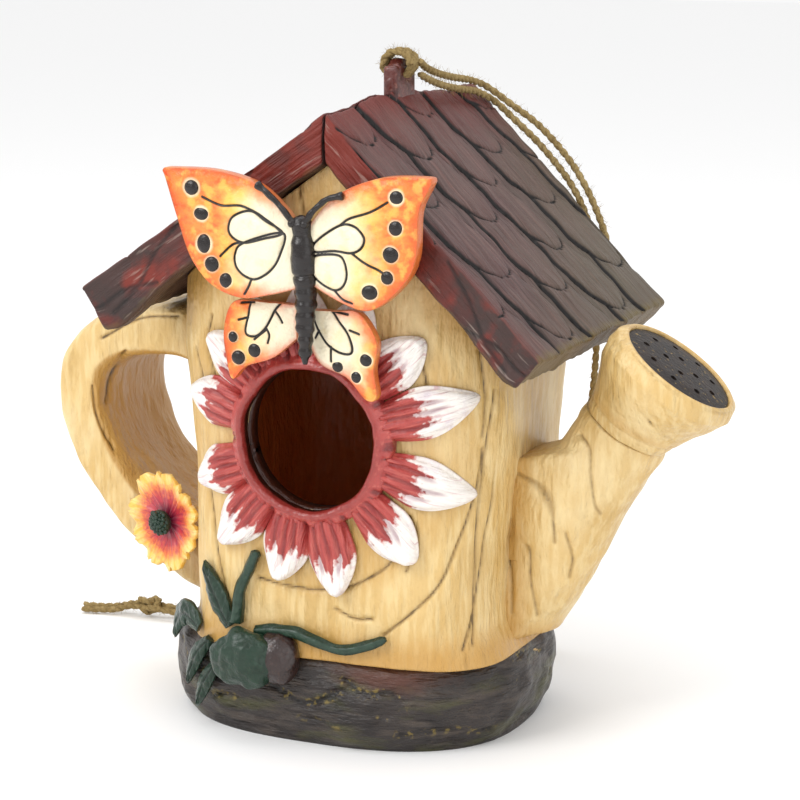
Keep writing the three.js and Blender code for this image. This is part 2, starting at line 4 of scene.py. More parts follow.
import bmesh
import bpy
import numpy as np
from bpy.props import FloatProperty, FloatVectorProperty, IntProperty, PointerProperty
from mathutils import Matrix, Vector


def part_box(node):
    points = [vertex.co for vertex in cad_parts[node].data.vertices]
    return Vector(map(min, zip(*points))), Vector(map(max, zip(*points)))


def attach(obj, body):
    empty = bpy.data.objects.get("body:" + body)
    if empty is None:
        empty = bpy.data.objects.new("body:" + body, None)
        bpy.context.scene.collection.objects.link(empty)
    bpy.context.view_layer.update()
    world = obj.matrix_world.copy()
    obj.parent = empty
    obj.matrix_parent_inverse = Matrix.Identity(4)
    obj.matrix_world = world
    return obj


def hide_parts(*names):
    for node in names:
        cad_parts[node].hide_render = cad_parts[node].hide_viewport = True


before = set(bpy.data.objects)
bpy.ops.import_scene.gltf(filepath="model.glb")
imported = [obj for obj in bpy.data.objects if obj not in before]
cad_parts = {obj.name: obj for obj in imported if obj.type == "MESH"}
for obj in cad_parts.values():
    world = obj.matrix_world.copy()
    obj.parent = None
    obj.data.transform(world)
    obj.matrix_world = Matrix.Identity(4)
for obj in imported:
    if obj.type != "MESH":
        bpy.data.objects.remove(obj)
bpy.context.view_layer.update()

bl_info = {
    "name": "Watering-can birdhouse",
    "version": (1, 0, 0),
    "blender": (4, 5, 0),
    "location": "View3D > Sidebar > Birdhouse",
    "description": "Makes a painted cast-resin birdhouse with its butterfly, flowers and twine",
    "category": "Object",
}

MM = 0.001
HOUSE, STOPPER = "house", "stopper"


# ------------------------------------------------------------------ colour and shader helpers
def linear(code):
    """Linear RGB of an sRGB hex colour such as 0xE3C68F."""
    parts = [(code >> shift & 255) / 255 for shift in (16, 8, 0)]
    return [c / 12.92 if c <= 0.04045 else ((c + 0.055) / 1.055) ** 2.4 for c in parts]


def rgba(code):
    return (*linear(code), 1.0)


def add(tree, kind, links=None, **settings):
    """Adds a node with its settings.

    links maps an input to a value, to another node's socket, or to a node for its first output.
    """
    node = tree.nodes.new(kind)
    for key, value in settings.items():
        setattr(node, key, value)
    for key, source in (links or {}).items():
        if isinstance(source, bpy.types.Node):
            source = source.outputs[0]
        if isinstance(source, bpy.types.NodeSocket):
            tree.links.new(source, node.inputs[key])
        else:
            node.inputs[key].default_value = source
    return node


def mottle(tree, size, low, high, stretch=(1, 1, 1), detail=4.0, shift=0.0, space="Object"):
    """A cloudy mask from 0 to 1 with patches size millimetres across, drawn out by stretch."""
    place = add(tree, "ShaderNodeTexCoord")
    spread = add(tree, "ShaderNodeMapping", {
        "Vector": place.outputs[space], "Location": (shift, shift, -shift),
        "Scale": [1 / s for s in stretch]})
    cloud = add(tree, "ShaderNodeTexNoise", {
        "Vector": spread, "Scale": 1 / (size * MM), "Detail": detail})
    level = add(tree, "ShaderNodeMapRange", {
        "Value": cloud, "From Min": low, "From Max": high})
    return level.outputs[0]


def mark(tree, name, low=0.0, high=1.0, ragged=0.0, size=1.5):
    """A mask from 0 to 1 as the named vertex value runs from low to high, its edge made ragged."""
    value = add(tree, "ShaderNodeAttribute", attribute_name=name).outputs["Fac"]
    if ragged:
        wander = mottle(tree, size, 0.0, 1.0, detail=3.0, shift=ragged)
        shifted = add(tree, "ShaderNodeMath", {0: wander, 1: -0.5}, operation="ADD")
        value = add(tree, "ShaderNodeMath", {0: shifted, 1: ragged, 2: value},
                    operation="MULTIPLY_ADD").outputs[0]
    level = add(tree, "ShaderNodeMapRange", {0: value, 1: low, 2: high})
    return level.outputs[0]


def both(tree, first, second):
    """Where both masks are strong."""
    return add(tree, "ShaderNodeMath", {0: first, 1: second}, operation="MULTIPLY").outputs[0]


def paint_layers(tree, ground, layers):
    """Colour coats over a ground colour, each (mask, sRGB hex or one of the tones, strength)."""
    colour = ground
    for mask, coat, strength in layers:
        coat = rgba(coat) if isinstance(coat, int) else coat
        thin = add(tree, "ShaderNodeMath", {0: mask, 1: strength}, operation="MULTIPLY")
        mix = add(tree, "ShaderNodeMix", {0: thin, 6: colour, 7: coat},
                  data_type="RGBA")
        colour = mix.outputs[2]
    return colour


def cast_resin(name, ground, layers, roughness=0.5, relief=(), coat=0.0, specular=0.5):
    """Painted cast resin: smooth paint over a matt casting, with brush marks as shallow relief.

    layers(tree) gives the colour coats. relief is a list of (grain size, depth) in millimetres, or
    relief(tree) gives (height mask, depth) pairs.
    """
    material = bpy.data.materials.new(name)
    material.use_nodes = True
    tree = material.node_tree
    shader = tree.nodes["Principled BSDF"]
    colour = paint_layers(tree, ground, layers(tree))
    tree.links.new(colour, shader.inputs["Base Color"])
    shader.inputs["Roughness"].default_value = roughness
    shader.inputs["Specular IOR Level"].default_value = specular
    shader.inputs["Coat Weight"].default_value = coat
    shader.inputs["Coat Roughness"].default_value = 0.25
    normal = None
    if not callable(relief):
        grains = [(mottle(tree, size, 0.3, 0.7), depth) for size, depth in relief]
    else:
        grains = relief(tree)
    for height, depth in grains:
        bump = add(tree, "ShaderNodeBump", {"Height": height, "Distance": depth * MM})
        if normal:
            tree.links.new(normal, bump.inputs["Normal"])
        normal = bump.outputs[0]
    if normal:
        tree.links.new(normal, shader.inputs["Normal"])
    return material


# ------------------------------------------------------------------ shape helpers, millimetres
def box_of(node):
    """A CAD node's lowest and highest corners in millimetres."""
    low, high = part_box(node)
    return np.array(low) / MM, np.array(high) / MM


def smooth(value, low, high):
    """Smooth step from 0 at low to 1 at high."""
    t = np.clip((value - low) / (high - low), 0, 1)
    return t * t * (3 - 2 * t)


def ripple(points, size, seed, layers=10):
    """Soft random waves, about -1 to 1, whose length is about size millimetres."""
    rng = np.random.default_rng(seed)
    total = np.zeros(points.shape[:-1])
    for _ in range(layers):
        way = rng.normal(size=3)
        way *= 2 * np.pi / size * rng.uniform(0.6, 1.5) / np.linalg.norm(way)
        total += np.sin(points @ way + rng.uniform(0, 2 * np.pi))
    return total / layers ** 0.5


def catmull(points, steps=8):
    """A smooth line through the given points."""
    p = np.array(points, float)
    ends = np.vstack([2 * p[0] - p[1], p, 2 * p[-1] - p[-2]])
    t = np.linspace(0, 1, steps, endpoint=False)[:, None]
    line = []
    for a, b, c, d in zip(ends, ends[1:], ends[2:], ends[3:]):
        line.append(0.5 * (2 * b + (c - a) * t + (2 * a - 5 * b + 4 * c - d) * t ** 2
                           + (3 * b - a - 3 * c + d) * t ** 3))
    return np.vstack([*line, p[-1:]])


def resample(line, count):
    """The same line with count points evenly spaced along it."""
    gaps = np.linalg.norm(np.diff(line, axis=0), axis=1)
    at = np.concatenate([[0], np.cumsum(gaps)])
    return np.stack([np.interp(np.linspace(0, at[-1], count), at, column) for column in line.T], 1)


def distance_to(points, line):
    """Distance of every point from a line through the given points."""
    flat = points.reshape(-1, points.shape[-1])
    best = np.full(len(flat), 1e9)
    for a, b in zip(line, line[1:]):
        along = b - a
        t = np.clip((flat - a) @ along / max(along @ along, 1e-9), 0, 1)
        best = np.minimum(best, np.linalg.norm(flat - a - t[:, None] * along, axis=1))
    return best.reshape(points.shape[:-1])


def carved(points, lines, width):
    """How deep a set of carved lines is at every point: 1 in a line, 0 away from it."""
    depth = np.zeros(points.shape[:-1])
    for line in lines:
        depth = np.maximum(depth, np.exp(-(distance_to(points, line) / width) ** 2))
    return depth


def rounded_outline(count, half_x, half_y, squareness):
    """Evenly spaced points of a rounded box outline, anticlockwise from +X."""
    angle = np.linspace(0, 2 * np.pi, 4001)
    bend = 2 / squareness
    x = half_x * np.sign(np.cos(angle)) * np.abs(np.cos(angle)) ** bend
    y = half_y * np.sign(np.sin(angle)) * np.abs(np.sin(angle)) ** bend
    return resample(np.stack([x, y], 1), count + 1)[:-1]


def ring_faces(rows, columns):
    """Quads between rows of points that each close on themselves."""
    first = np.arange(columns)
    after = (first + 1) % columns
    faces = [np.stack([r * columns + first, r * columns + after,
                       (r + 1) * columns + after, (r + 1) * columns + first], 1)
             for r in range(rows - 1)]
    return np.concatenate(faces)


def drum(rings):
    """Closed skin over rings (rows, columns, 3): (points, faces), each end closed by a fan."""
    rows, columns, _ = rings.shape
    points = np.vstack([rings.reshape(-1, 3), rings[:1].mean(1), rings[-1:].mean(1)])
    faces = ring_faces(rows, columns).tolist()
    low, high = rows * columns, rows * columns + 1
    last = (rows - 1) * columns
    for c in range(columns):
        after = (c + 1) % columns
        faces.append([low, after, c])
        faces.append([high, last + c, last + after])
    return points, faces


def block(nu, nv, nw):
    """Surface grid of a box: (u, v, w) of its points, from 0 to 1, and its faces."""
    i, j, k = np.meshgrid(range(nu + 1), range(nv + 1), range(nw + 1), indexing="ij")
    skin = (i == 0) | (i == nu) | (j == 0) | (j == nv) | (k == 0) | (k == nw)
    index = np.full(skin.shape, -1)
    index[skin] = np.arange(skin.sum())
    faces = []
    sides = [index[0], index[-1][:, ::-1], index[:, 0][:, ::-1], index[:, -1],
             index[:, :, 0], index[:, :, -1][:, ::-1]]
    for side in sides:
        corners = [side[:-1, :-1], side[1:, :-1], side[1:, 1:], side[:-1, 1:]]
        faces.append(np.stack([c.ravel() for c in corners], 1))
    grid = np.stack([i[skin] / nu, j[skin] / nv, k[skin] / nw], 1)
    return grid, np.concatenate(faces).tolist()


def soften(points, half, radius):
    """Rounds the edges of a box of half sizes: points and their outward directions."""
    core = np.clip(points, -(half - radius), half - radius)
    out = points - core
    out /= np.maximum(np.linalg.norm(out, axis=-1, keepdims=True), 1e-9)
    return core + out * radius, out


def sweep(line, rows, columns, half_across, half_thick, squareness=2.0, across=(0, 1, 0)):
    """Rings round a line: (rows, columns, 3) points and their outward directions."""
    centre = resample(np.asarray(line, float), rows)
    run = np.gradient(centre, axis=0)
    run /= np.linalg.norm(run, axis=1, keepdims=True)
    side = np.array(across, float) - (run @ np.array(across, float))[:, None] * run
    side /= np.linalg.norm(side, axis=1, keepdims=True)
    other = np.cross(run, side)
    flat = rounded_outline(columns, 1, 1, squareness)
    wide = np.broadcast_to(half_across, rows)[:, None]
    deep = np.broadcast_to(half_thick, rows)[:, None]
    offset = side[:, None] * (flat[:, 0] * wide)[..., None]
    offset = offset + other[:, None] * (flat[:, 1] * deep)[..., None]
    power = np.sign(flat) * np.abs(flat) ** (squareness - 1)
    out = side[:, None] * (power[:, 0] / wide)[..., None]
    out = out + other[:, None] * (power[:, 1] / deep)[..., None]
    out /= np.linalg.norm(out, axis=2, keepdims=True)
    return centre[:, None] + offset, out


def merged(parts):
    """One set of points, faces and named values from several (points, faces, values)."""
    points, faces, values, count = [], [], {}, 0
    for part_points, part_faces, part_values in parts:
        points.append(part_points)
        faces += [[corner + count for corner in face] for face in part_faces]
        count += len(part_points)
        for key, value in part_values.items():
            values.setdefault(key, []).append(np.asarray(value).ravel())
    return np.vstack(points), faces, {key: np.concatenate(v) for key, v in values.items()}


def mesh_object(name, points, faces, values=None, uv=None):
    """An object at the origin from points in millimetres, with vertex values for its paint."""
    mesh = bpy.data.meshes.new(name)
    mesh.from_pydata((np.asarray(points) * MM).tolist(), [], faces)
    for key, value in (values or {}).items():
        layer = mesh.attributes.new(key, "FLOAT", "POINT")
        layer.data.foreach_set("value", np.asarray(value, np.float32).ravel())
    if uv is not None:
        corners = np.zeros(len(mesh.loops), np.int32)
        mesh.loops.foreach_get("vertex_index", corners)
        layer = mesh.uv_layers.new(name="UVMap")
        layer.data.foreach_set("uv", np.asarray(uv, np.float32)[corners].ravel())
    form = bmesh.new()
    form.from_mesh(mesh)
    bmesh.ops.recalc_face_normals(form, faces=form.faces)
    form.to_mesh(mesh)
    form.free()
    mesh.polygons.foreach_set("use_smooth", [True] * len(mesh.polygons))
    piece = bpy.data.objects.new(name, mesh)
    bpy.context.scene.collection.objects.link(piece)
    return piece


def with_poles(values):
    """Vertex values of a drum's rings, with the two end points added."""
    return np.concatenate([values.ravel(), [values[0].mean(), values[-1].mean()]])


def place_piece(piece, material, slot, *nodes, body=HOUSE):
    """Gives a finished piece its material, its body and the CAD nodes that it stands for."""
    piece.data.materials.clear()
    piece.data.materials.append(material)
    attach(piece, body)
    if nodes:
        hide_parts(*nodes)
    return piece


# ------------------------------------------------------------------ sizes and colours to change
class BirdhouseSizes(bpy.types.PropertyGroup):
    """Sizes of the birdhouse's details."""
    wall: FloatProperty(
        name="Can wall", description="Thickness of the can's wall",
        default=0.006, min=0.003, max=0.008, subtype="DISTANCE", unit="LENGTH")
    carving: FloatProperty(
        name="Carving depth", description="Depth of the lines carved in the can and the roof",
        default=0.0009, min=0.0, max=0.002, subtype="DISTANCE", unit="LENGTH")
    shingle_width: FloatProperty(
        name="Shingle width", description="Width of one shingle's tongue",
        default=0.023, min=0.012, max=0.04, subtype="DISTANCE", unit="LENGTH")
    twine: FloatProperty(
        name="Twine diameter", description="Diameter of the jute twine",
        default=0.0026, min=0.002, max=0.003, subtype="DISTANCE", unit="LENGTH")
    twist: FloatProperty(
        name="Twine twist", description="Length of one turn of the twine's plies",
        default=0.0065, min=0.004, max=0.03, subtype="DISTANCE", unit="LENGTH")
    fuzz: IntProperty(
        name="Twine fuzz", description="Loose fibres on each square centimetre of twine",
        default=26, min=0, max=80)
    bloom_petals: IntProperty(
        name="Small flower petals", description="Petals of the flower on the handle",
        default=9, min=5, max=14)


def colour_property(name, description, code):
    return FloatVectorProperty(name=name, description=description, default=linear(code),
                               size=3, min=0.0, max=1.0, subtype="COLOR")


class BirdhouseColours(bpy.types.PropertyGroup):
    """The main paints of the birdhouse."""
    cream: colour_property("Cream", "Paint of the can, handle and spout", 0xD3B274)
    # The ochre is painted shade under the eaves, near the base, round the flower and on the handle's
    # inner side.
    ochre: colour_property("Ochre", "Painted shade in the cream paint's corners", 0xB98A3E)
    shingle: colour_property("Shingle", "Paint of the roof slopes", 0x57423E)
    mahogany: colour_property("Mahogany", "Paint of the roof's front edges", 0x58221B)
    rock: colour_property("Rock", "Paint of the rock base", 0x332C29)
    petal_red: colour_property("Petal red", "Paint at the root of the big petals", 0xB0453F)
    petal_white: colour_property("Petal white", "Paint of the big petals' tips", 0xEAE3DC)
    wing_orange: colour_property("Wing orange", "Outer border of the wings", 0xEA6A1C)
    wing_yellow: colour_property("Wing yellow", "Middle of the wings", 0xF5BE45)
    wing_cream: colour_property("Wing cream", "Inner part of the wings", 0xEADFC2)
    black: colour_property("Black", "Gloss black-brown of the butterfly", 0x140D0B)
    leaf: colour_property("Leaf", "Paint of the stems and leaves", 0x1B3325)
    jute: colour_property("Jute", "Colour of the twine", 0x8F7A50)


def sizes():
    return bpy.context.scene.birdhouse_sizes


def tone(name):
    """One of the user's colours as RGBA."""
    return (*getattr(bpy.context.scene.birdhouse_colours, name), 1.0)


# ------------------------------------------------------------------ where things are, millimetres
CAN_LOW, CAN_HIGH = box_of("can_body")
CAN_X = (CAN_LOW[0] + CAN_HIGH[0]) / 2
CAN_HALF_WIDTH = (CAN_HIGH[0] - CAN_LOW[0]) / 2
CAN_HALF_DEPTH = (CAN_HIGH[1] - CAN_LOW[1]) / 2
CAN_SQUARENESS = 4
CAN_WAIST = [(25, 1.0), (40, 0.93), (85, 0.94), (125, 1.0), (220, 1.0)]   # height, share of width
RIM_LOW, RIM_HIGH = box_of("entry_rim")
ENTRY = np.array([(RIM_LOW[0] + RIM_HIGH[0]) / 2, (RIM_LOW[2] + RIM_HIGH[2]) / 2])
RIM_OUTER = (RIM_HIGH[2] - RIM_LOW[2]) / 2
ENTRY_RADIUS = RIM_OUTER - 5.4
STOPPER_LOW, STOPPER_HIGH = box_of("cleanout_stopper")
CLEAN_OUT = np.array([(STOPPER_LOW[0] + STOPPER_HIGH[0]) / 2,
                      (STOPPER_LOW[2] + STOPPER_HIGH[2]) / 2])
CLEAN_OUT_RADIUS = 16.0
RIDGE = np.array([4.0, 205.0])
EAVES = {"left": (np.array([-80.0, 146.0]), 13.0), "right": (np.array([78.0, 134.0]), 12.0)}
ROOF_FRONT, ROOF_DEPTH, RIDGE_SETBACK = -60.0, 119.0, 7.0


def can_half_width(z):
    heights, shares = zip(*CAN_WAIST)
    return CAN_HALF_WIDTH * np.interp(z, heights, shares)


def wall_y(x, z):
    """Front surface of the can."""
    across = np.clip(np.abs((x - CAN_X) / can_half_width(z)), 0, 0.97)
    return -CAN_HALF_DEPTH * (1 - across ** CAN_SQUARENESS) ** (1 / CAN_SQUARENESS)


def on_front(line, steps=6):
    """A smooth line of (x, z) points, as drawn on the plane of the can's front, laid on the can."""
    flat = catmull(line, steps)
    y = np.full(len(flat), -CAN_HALF_DEPTH)
    for _ in range(30):
        back = y + CAN_HALF_DEPTH
        x, z = flat[:, 0] - 0.445 * back, flat[:, 1] - 0.233 * back
        y = 0.7 * y + 0.3 * wall_y(x, z)
    return np.stack([x, y, z], 1)


def slope_of(side):
    """Down the slope, inward through it, the eave's upper corner and the slab's thickness."""
    corner, thick = EAVES[side]
    down = corner - RIDGE
    length = np.linalg.norm(down)
    down = down / length
    inward = np.array([down[1], -down[0]]) * np.sign(down[0])
    return down, inward, corner, thick, length


def under_roof(x):
    """Height of the roof's underside over x."""
    heights = []
    for side in EAVES:
        down, inward, corner, thick, _ = slope_of(side)
        low = corner + inward * thick
        heights.append(low[1] + down[1] * (x - low[0]) / down[0])
    return np.minimum(*heights)


# ------------------------------------------------------------------ stage, camera and light
CAMERA_LENS, CAMERA_DISTANCE = 117.0, 0.858
CAMERA_AZIMUTH, CAMERA_ELEVATION = 24.0, 12.0
LOOK_AT = Vector((0.0058, 0.0, 0.1054))


def make_floor():
    size = 4.0
    mesh = bpy.data.meshes.new("floor")
    corners = [(-size, -size, 0), (size, -size, 0), (size, size, 0), (-size, size, 0)]
    mesh.from_pydata(corners, [], [(0, 1, 2, 3)])
    floor = bpy.data.objects.new("floor", mesh)
    bpy.context.scene.collection.objects.link(floor)
    material = bpy.data.materials.new("matt white paper")
    material.use_nodes = True
    shader = material.node_tree.nodes["Principled BSDF"]
    shader.inputs["Base Color"].default_value = rgba(0xFAFAFA)
    shader.inputs["Roughness"].default_value = 0.9
    mesh.materials.append(material)


def make_camera():
    azimuth, elevation = math.radians(CAMERA_AZIMUTH), math.radians(CAMERA_ELEVATION)
    back = Vector((math.sin(azimuth) * math.cos(elevation),
                   -math.cos(azimuth) * math.cos(elevation), math.sin(elevation)))
    camera = bpy.data.objects.new("camera", bpy.data.cameras.new("camera"))
    camera.data.lens = CAMERA_LENS
    camera.data.sensor_width = 36.0
    camera.location = LOOK_AT + back * CAMERA_DISTANCE
    camera.rotation_euler = (-back).to_track_quat("-Z", "Y").to_euler()
    bpy.context.scene.collection.objects.link(camera)
    bpy.context.scene.camera = camera


def area_light(name, place, size, power, colour=(1, 1, 1)):
    light = bpy.data.lights.new(name, "AREA")
    light.shape = "RECTANGLE"
    light.size, light.size_y = size
    light.energy = power
    light.color = colour
    lamp = bpy.data.objects.new(name, light)
    lamp.location = place
    aim = LOOK_AT - Vector(place)
    lamp.rotation_euler = aim.to_track_quat("-Z", "Y").to_euler()
    bpy.context.scene.collection.objects.link(lamp)


class BIRDHOUSE_OT_stage(bpy.types.Operator):
    """Make the white floor, the camera and the soft studio lights"""
    bl_idname = "birdhouse.stage"
    bl_label = "Studio stage"

    def execute(self, context):
        make_floor()
        make_camera()
        area_light("softbox_front_left", (-0.55, -0.95, 0.95), (0.6, 0.6), 8.5)
        area_light("softbox_front_right", (0.95, -0.75, 0.55), (0.8, 0.8), 2.5)
        area_light("softbox_top", (0.0, 0.1, 1.15), (0.9, 0.9), 3.5)
        world = bpy.data.worlds.new("white room")
        world.use_nodes = True
        background = world.node_tree.nodes["Background"]
        background.inputs["Color"].default_value = (1.0, 1.0, 1.0, 1.0)
        background.inputs["Strength"].default_value = 0.95
        context.scene.world = world
        context.scene.view_settings.view_transform = "Standard"
        return {"FINISHED"}


# ------------------------------------------------------------------ twine
STRANDS = {
    "outer": ([(10.2, 5.6, 216.4), (9, 14, 213.6), (8, 26, 210.8), (7.6, 40, 208.4),
               (7.8, 54, 206.4), (10, 64, 203.4), (17, 68.5, 197.4), (28, 69.5, 189.6),
               (40.5, 69, 176.6), (49.5, 68, 161.5), (54.5, 67.5, 146), (56, 67.5, 122),
               (53.5, 69, 92), (46, 72.5, 60), (36, 76, 31), (24, 78.5, 10), (8, 78.5, 2.2),
               (-16, 76, 1.7), (-45, 71.5, 1.7), (-78, 66, 1.7), (-103, 61, 2.2),
               (-115.6, 57.6, 4.4)],
              [(-128.6, 56.4, 4.4), (-135, 56.8, 2.6), (-142, 56, 1.7), (-150, 54.6, 1.7)]),
    "inner": ([(10.6, 5.6, 212), (10.8, 14, 209.4), (10.3, 26, 206.8), (10, 40, 204.6),
               (10.4, 54, 202.5), (13, 63.6, 198.6), (19, 66.4, 192.6), (29, 67, 183.6),
               (39.5, 67, 171.8), (46, 66.8, 160), (49.5, 66.5, 146), (50.5, 66.8, 122),
               (48, 67.6, 92), (40, 69.6, 60), (30, 72, 31), (19, 73.4, 10), (3, 73, 2.2),
               (-18, 70.5, 1.7), (-45, 66.3, 1.7), (-78, 60.6, 1.7), (-102, 56, 2.2),
               (-115.4, 53.6, 4)],
              [(-128.6, 53.6, 4), (-135, 52.6, 2.2), (-141, 51.4, 1.7), (-148, 49.6, 1.7)]),
}


def jute_twine():
    """Two-ply jute: dull dry plant fibre, so no gloss and a fine uneven colour along the plies."""
    def layers(tree):
        return [(mottle(tree, 5.0, 0.35, 0.7), 0xB09A6C, 0.7),
                (mottle(tree, 1.2, 0.45, 0.65, shift=3.0), 0x665230, 0.55)]
    return cast_resin("two-ply jute twine", tone("jute"), layers, roughness=0.95, specular=0.15,
                      relief=[(0.5, 0.15)])


def new_tree(name, inputs):
    """A Geometry Nodes tree with a geometry input and the named numbers, and its input node."""
    tree = bpy.data.node_groups.new(name, "GeometryNodeTree")
    face = tree.interface
    face.new_socket("Geometry", in_out="INPUT", socket_type="NodeSocketGeometry")
    for label, value in inputs.items():
        kind = "NodeSocketInt" if isinstance(value, int) else "NodeSocketFloat"
        face.new_socket(label, in_out="INPUT", socket_type=kind).default_value = value
    face.new_socket("Geometry", in_out="OUTPUT", socket_type="NodeSocketGeometry")
    return tree, add(tree, "NodeGroupInput")


def join(tree, sockets):
    """Several geometries as one, in the order given."""
    together = add(tree, "GeometryNodeJoinGeometry")
    for socket in sockets:
        tree.links.new(socket, together.inputs[0])
    return together.outputs[0]


def end_tree(tree, geometry, material):
    """Closes a tree on real geometry in its material."""
    dressed = add(tree, "GeometryNodeSetMaterial", {"Geometry": geometry, "Material": material})
    add(tree, "NodeGroupOutput", {0: dressed})
    return tree


def twine_tree(material):
    """Geometry Nodes: two twisted plies round a curve, with loose fibres standing off them."""
    tree, given = new_tree("twisted twine", {
        "Twine Diameter": 0.0026, "Twist Length": 0.009, "Fuzz": 26.0})
    line = add(tree, "GeometryNodeResampleCurve", {"Curve": given}, mode="LENGTH")
    line.inputs["Length"].default_value = 0.0011
    along = add(tree, "GeometryNodeSplineParameter")
    turns = add(tree, "ShaderNodeMath", {0: along.outputs["Length"],
                                         1: given.outputs["Twist Length"]}, operation="DIVIDE")
    normal = add(tree, "GeometryNodeInputNormal")
    tangent = add(tree, "GeometryNodeInputTangent")
    reach = add(tree, "ShaderNodeMath", {0: given.outputs["Twine Diameter"], 1: 0.18},
                operation="MULTIPLY")
    ply_radius = add(tree, "ShaderNodeMath", {0: given.outputs["Twine Diameter"], 1: 0.32},
                     operation="MULTIPLY")
    ring = add(tree, "GeometryNodeCurvePrimitiveCircle", {"Radius": ply_radius})
    ring.inputs["Resolution"].default_value = 10
    plies = []
    for phase in (0.0, 0.5):
        angle = add(tree, "ShaderNodeMath", {0: turns, 1: phase}, operation="ADD")
        radians = add(tree, "ShaderNodeMath", {0: angle, 1: 2 * math.pi},
                      operation="MULTIPLY")
        turned = add(tree, "ShaderNodeVectorRotate", {
            "Vector": normal, "Axis": tangent,
            "Angle": radians}, rotation_type="AXIS_ANGLE")
        offset = add(tree, "ShaderNodeVectorMath", {0: turned}, operation="SCALE")
        tree.links.new(reach.outputs[0], offset.inputs["Scale"])
        ply = add(tree, "GeometryNodeSetPosition", {"Geometry": line,
                                                    "Offset": offset})
        tube = add(tree, "GeometryNodeCurveToMesh", {"Curve": ply,
                                                     "Profile Curve": ring})
        tube.inputs["Fill Caps"].default_value = True
        plies.append(tube.outputs[0])
    cord = join(tree, plies)
    fuzz = add(tree, "ShaderNodeMath", {0: given.outputs["Fuzz"], 1: 1e4}, operation="MULTIPLY")
    spots = add(tree, "GeometryNodeDistributePointsOnFaces", {
        "Mesh": cord, "Density": fuzz, "Seed": 7})
    fibre = add(tree, "GeometryNodeMeshCone", {
        "Vertices": 3, "Radius Top": 0.00002, "Radius Bottom": 0.00006, "Depth": 0.0022})
    tilt = add(tree, "FunctionNodeRandomValue", {"Seed": 3}, data_type="FLOAT_VECTOR")
    tilt.inputs[0].default_value = (-1.2, -1.2, -3.1)
    tilt.inputs[1].default_value = (1.2, 1.2, 3.1)
    lean = add(tree, "FunctionNodeRotateRotation", {"Rotation": spots.outputs["Rotation"],
                                                    "Rotate By": tilt},
               rotation_space="LOCAL")
    hairs = add(tree, "GeometryNodeInstanceOnPoints", {
        "Points": spots, "Instance": fibre,
        "Rotation": lean})
    everything = join(tree, [hairs.outputs[0], cord])
    real = add(tree, "GeometryNodeRealizeInstances", {0: everything})
    return end_tree(tree, real, material)


def grown(source, tree, name, values=None):
    """The plain mesh that a Geometry Nodes tree makes of a source object, as a new object."""
    modifier = source.modifiers.new("grow", "NODES")
    modifier.node_group = tree
    for item in tree.interface.items_tree:
        if item.item_type == "SOCKET" and item.in_out == "INPUT" and item.name in (values or {}):
            modifier[item.identifier] = values[item.name]
    graph = bpy.context.evaluated_depsgraph_get()
    mesh = bpy.data.meshes.new_from_object(source.evaluated_get(graph))
    mesh.name = name
    source.modifiers.remove(modifier)
    piece = bpy.data.objects.new(name, mesh)
    bpy.context.scene.collection.objects.link(piece)
    bpy.data.objects.remove(source)
    return piece


def curve_object(name, line):
    """A poly curve through points in millimetres."""
    data = bpy.data.curves.new(name, "CURVE")
    data.dimensions = "3D"
    spline = data.splines.new("POLY")
    spline.points.add(len(line) - 1)
    spline.points.foreach_set("co", np.column_stack([line * MM, np.ones(len(line))]).ravel())
    source = bpy.data.objects.new(name, data)
    bpy.context.scene.collection.objects.link(source)
    return source


def move_points(piece, change):
    """Passes a piece's points, in millimetres, through a function."""
    mesh = piece.data
    flat = np.zeros(len(mesh.vertices) * 3, np.float32)
    mesh.vertices.foreach_get("co", flat)
    moved = change(flat.reshape(-1, 3) / MM) * MM
    mesh.vertices.foreach_set("co", moved.astype(np.float32).ravel())
    mesh.update()


def bent_at_the_floor(points):
    """Points with those near or under the floor pressed flat just above it."""
    near, softness = 0.4, 0.8
    height = points[:, 2]
    pressed = near * np.exp((np.minimum(height, near) - near) / softness)
    points[:, 2] = np.where(height < near, pressed, height)
    return points


def twine_piece(name, line, tree, fuzz=None):
    """One piece of twine along a line, its fibres bent flat where they meet the floor."""
    chosen = sizes()
    values = {"Twine Diameter": chosen.twine, "Twist Length": chosen.twist,
              "Fuzz": float(chosen.fuzz if fuzz is None else fuzz)}
    piece = grown(curve_object(name + "_line", line), tree, name, values)
    move_points(piece, bent_at_the_floor)
    return piece


def knot_line():
    """An overhand knot of the doubled twine, drawn tight, in the knot node's box."""
    low, high = box_of("twine_knot")
    middle, half = (low + high) / 2, (high - low) / 2
    t = np.linspace(0, 2 * np.pi, 140)
    loops = np.stack([np.sin(t) + 2 * np.sin(2 * t), np.cos(t) - 2 * np.cos(2 * t),
                      -np.sin(3 * t)], 1)
    squashed = loops * [0.33, 0.33, 0.6]
    return middle + squashed[:, [0, 2, 1]] * (half - 1.4)


def hitch_line():
    """Three turns of twine through the lug's eye and over its top."""
    low, high = box_of("twine_hitch")
    middle, half = (low + high) / 2, (high - low) / 2 - 1.3
    t = np.linspace(0, 6.6 * np.pi, 210)
    return np.stack([middle[0] + half[0] * np.cos(t) + 0.25 * np.sin(3 * t),
                     middle[1] + (t / t[-1] - 0.5) * 5.6,
                     middle[2] + half[2] * np.sin(t)], 1)


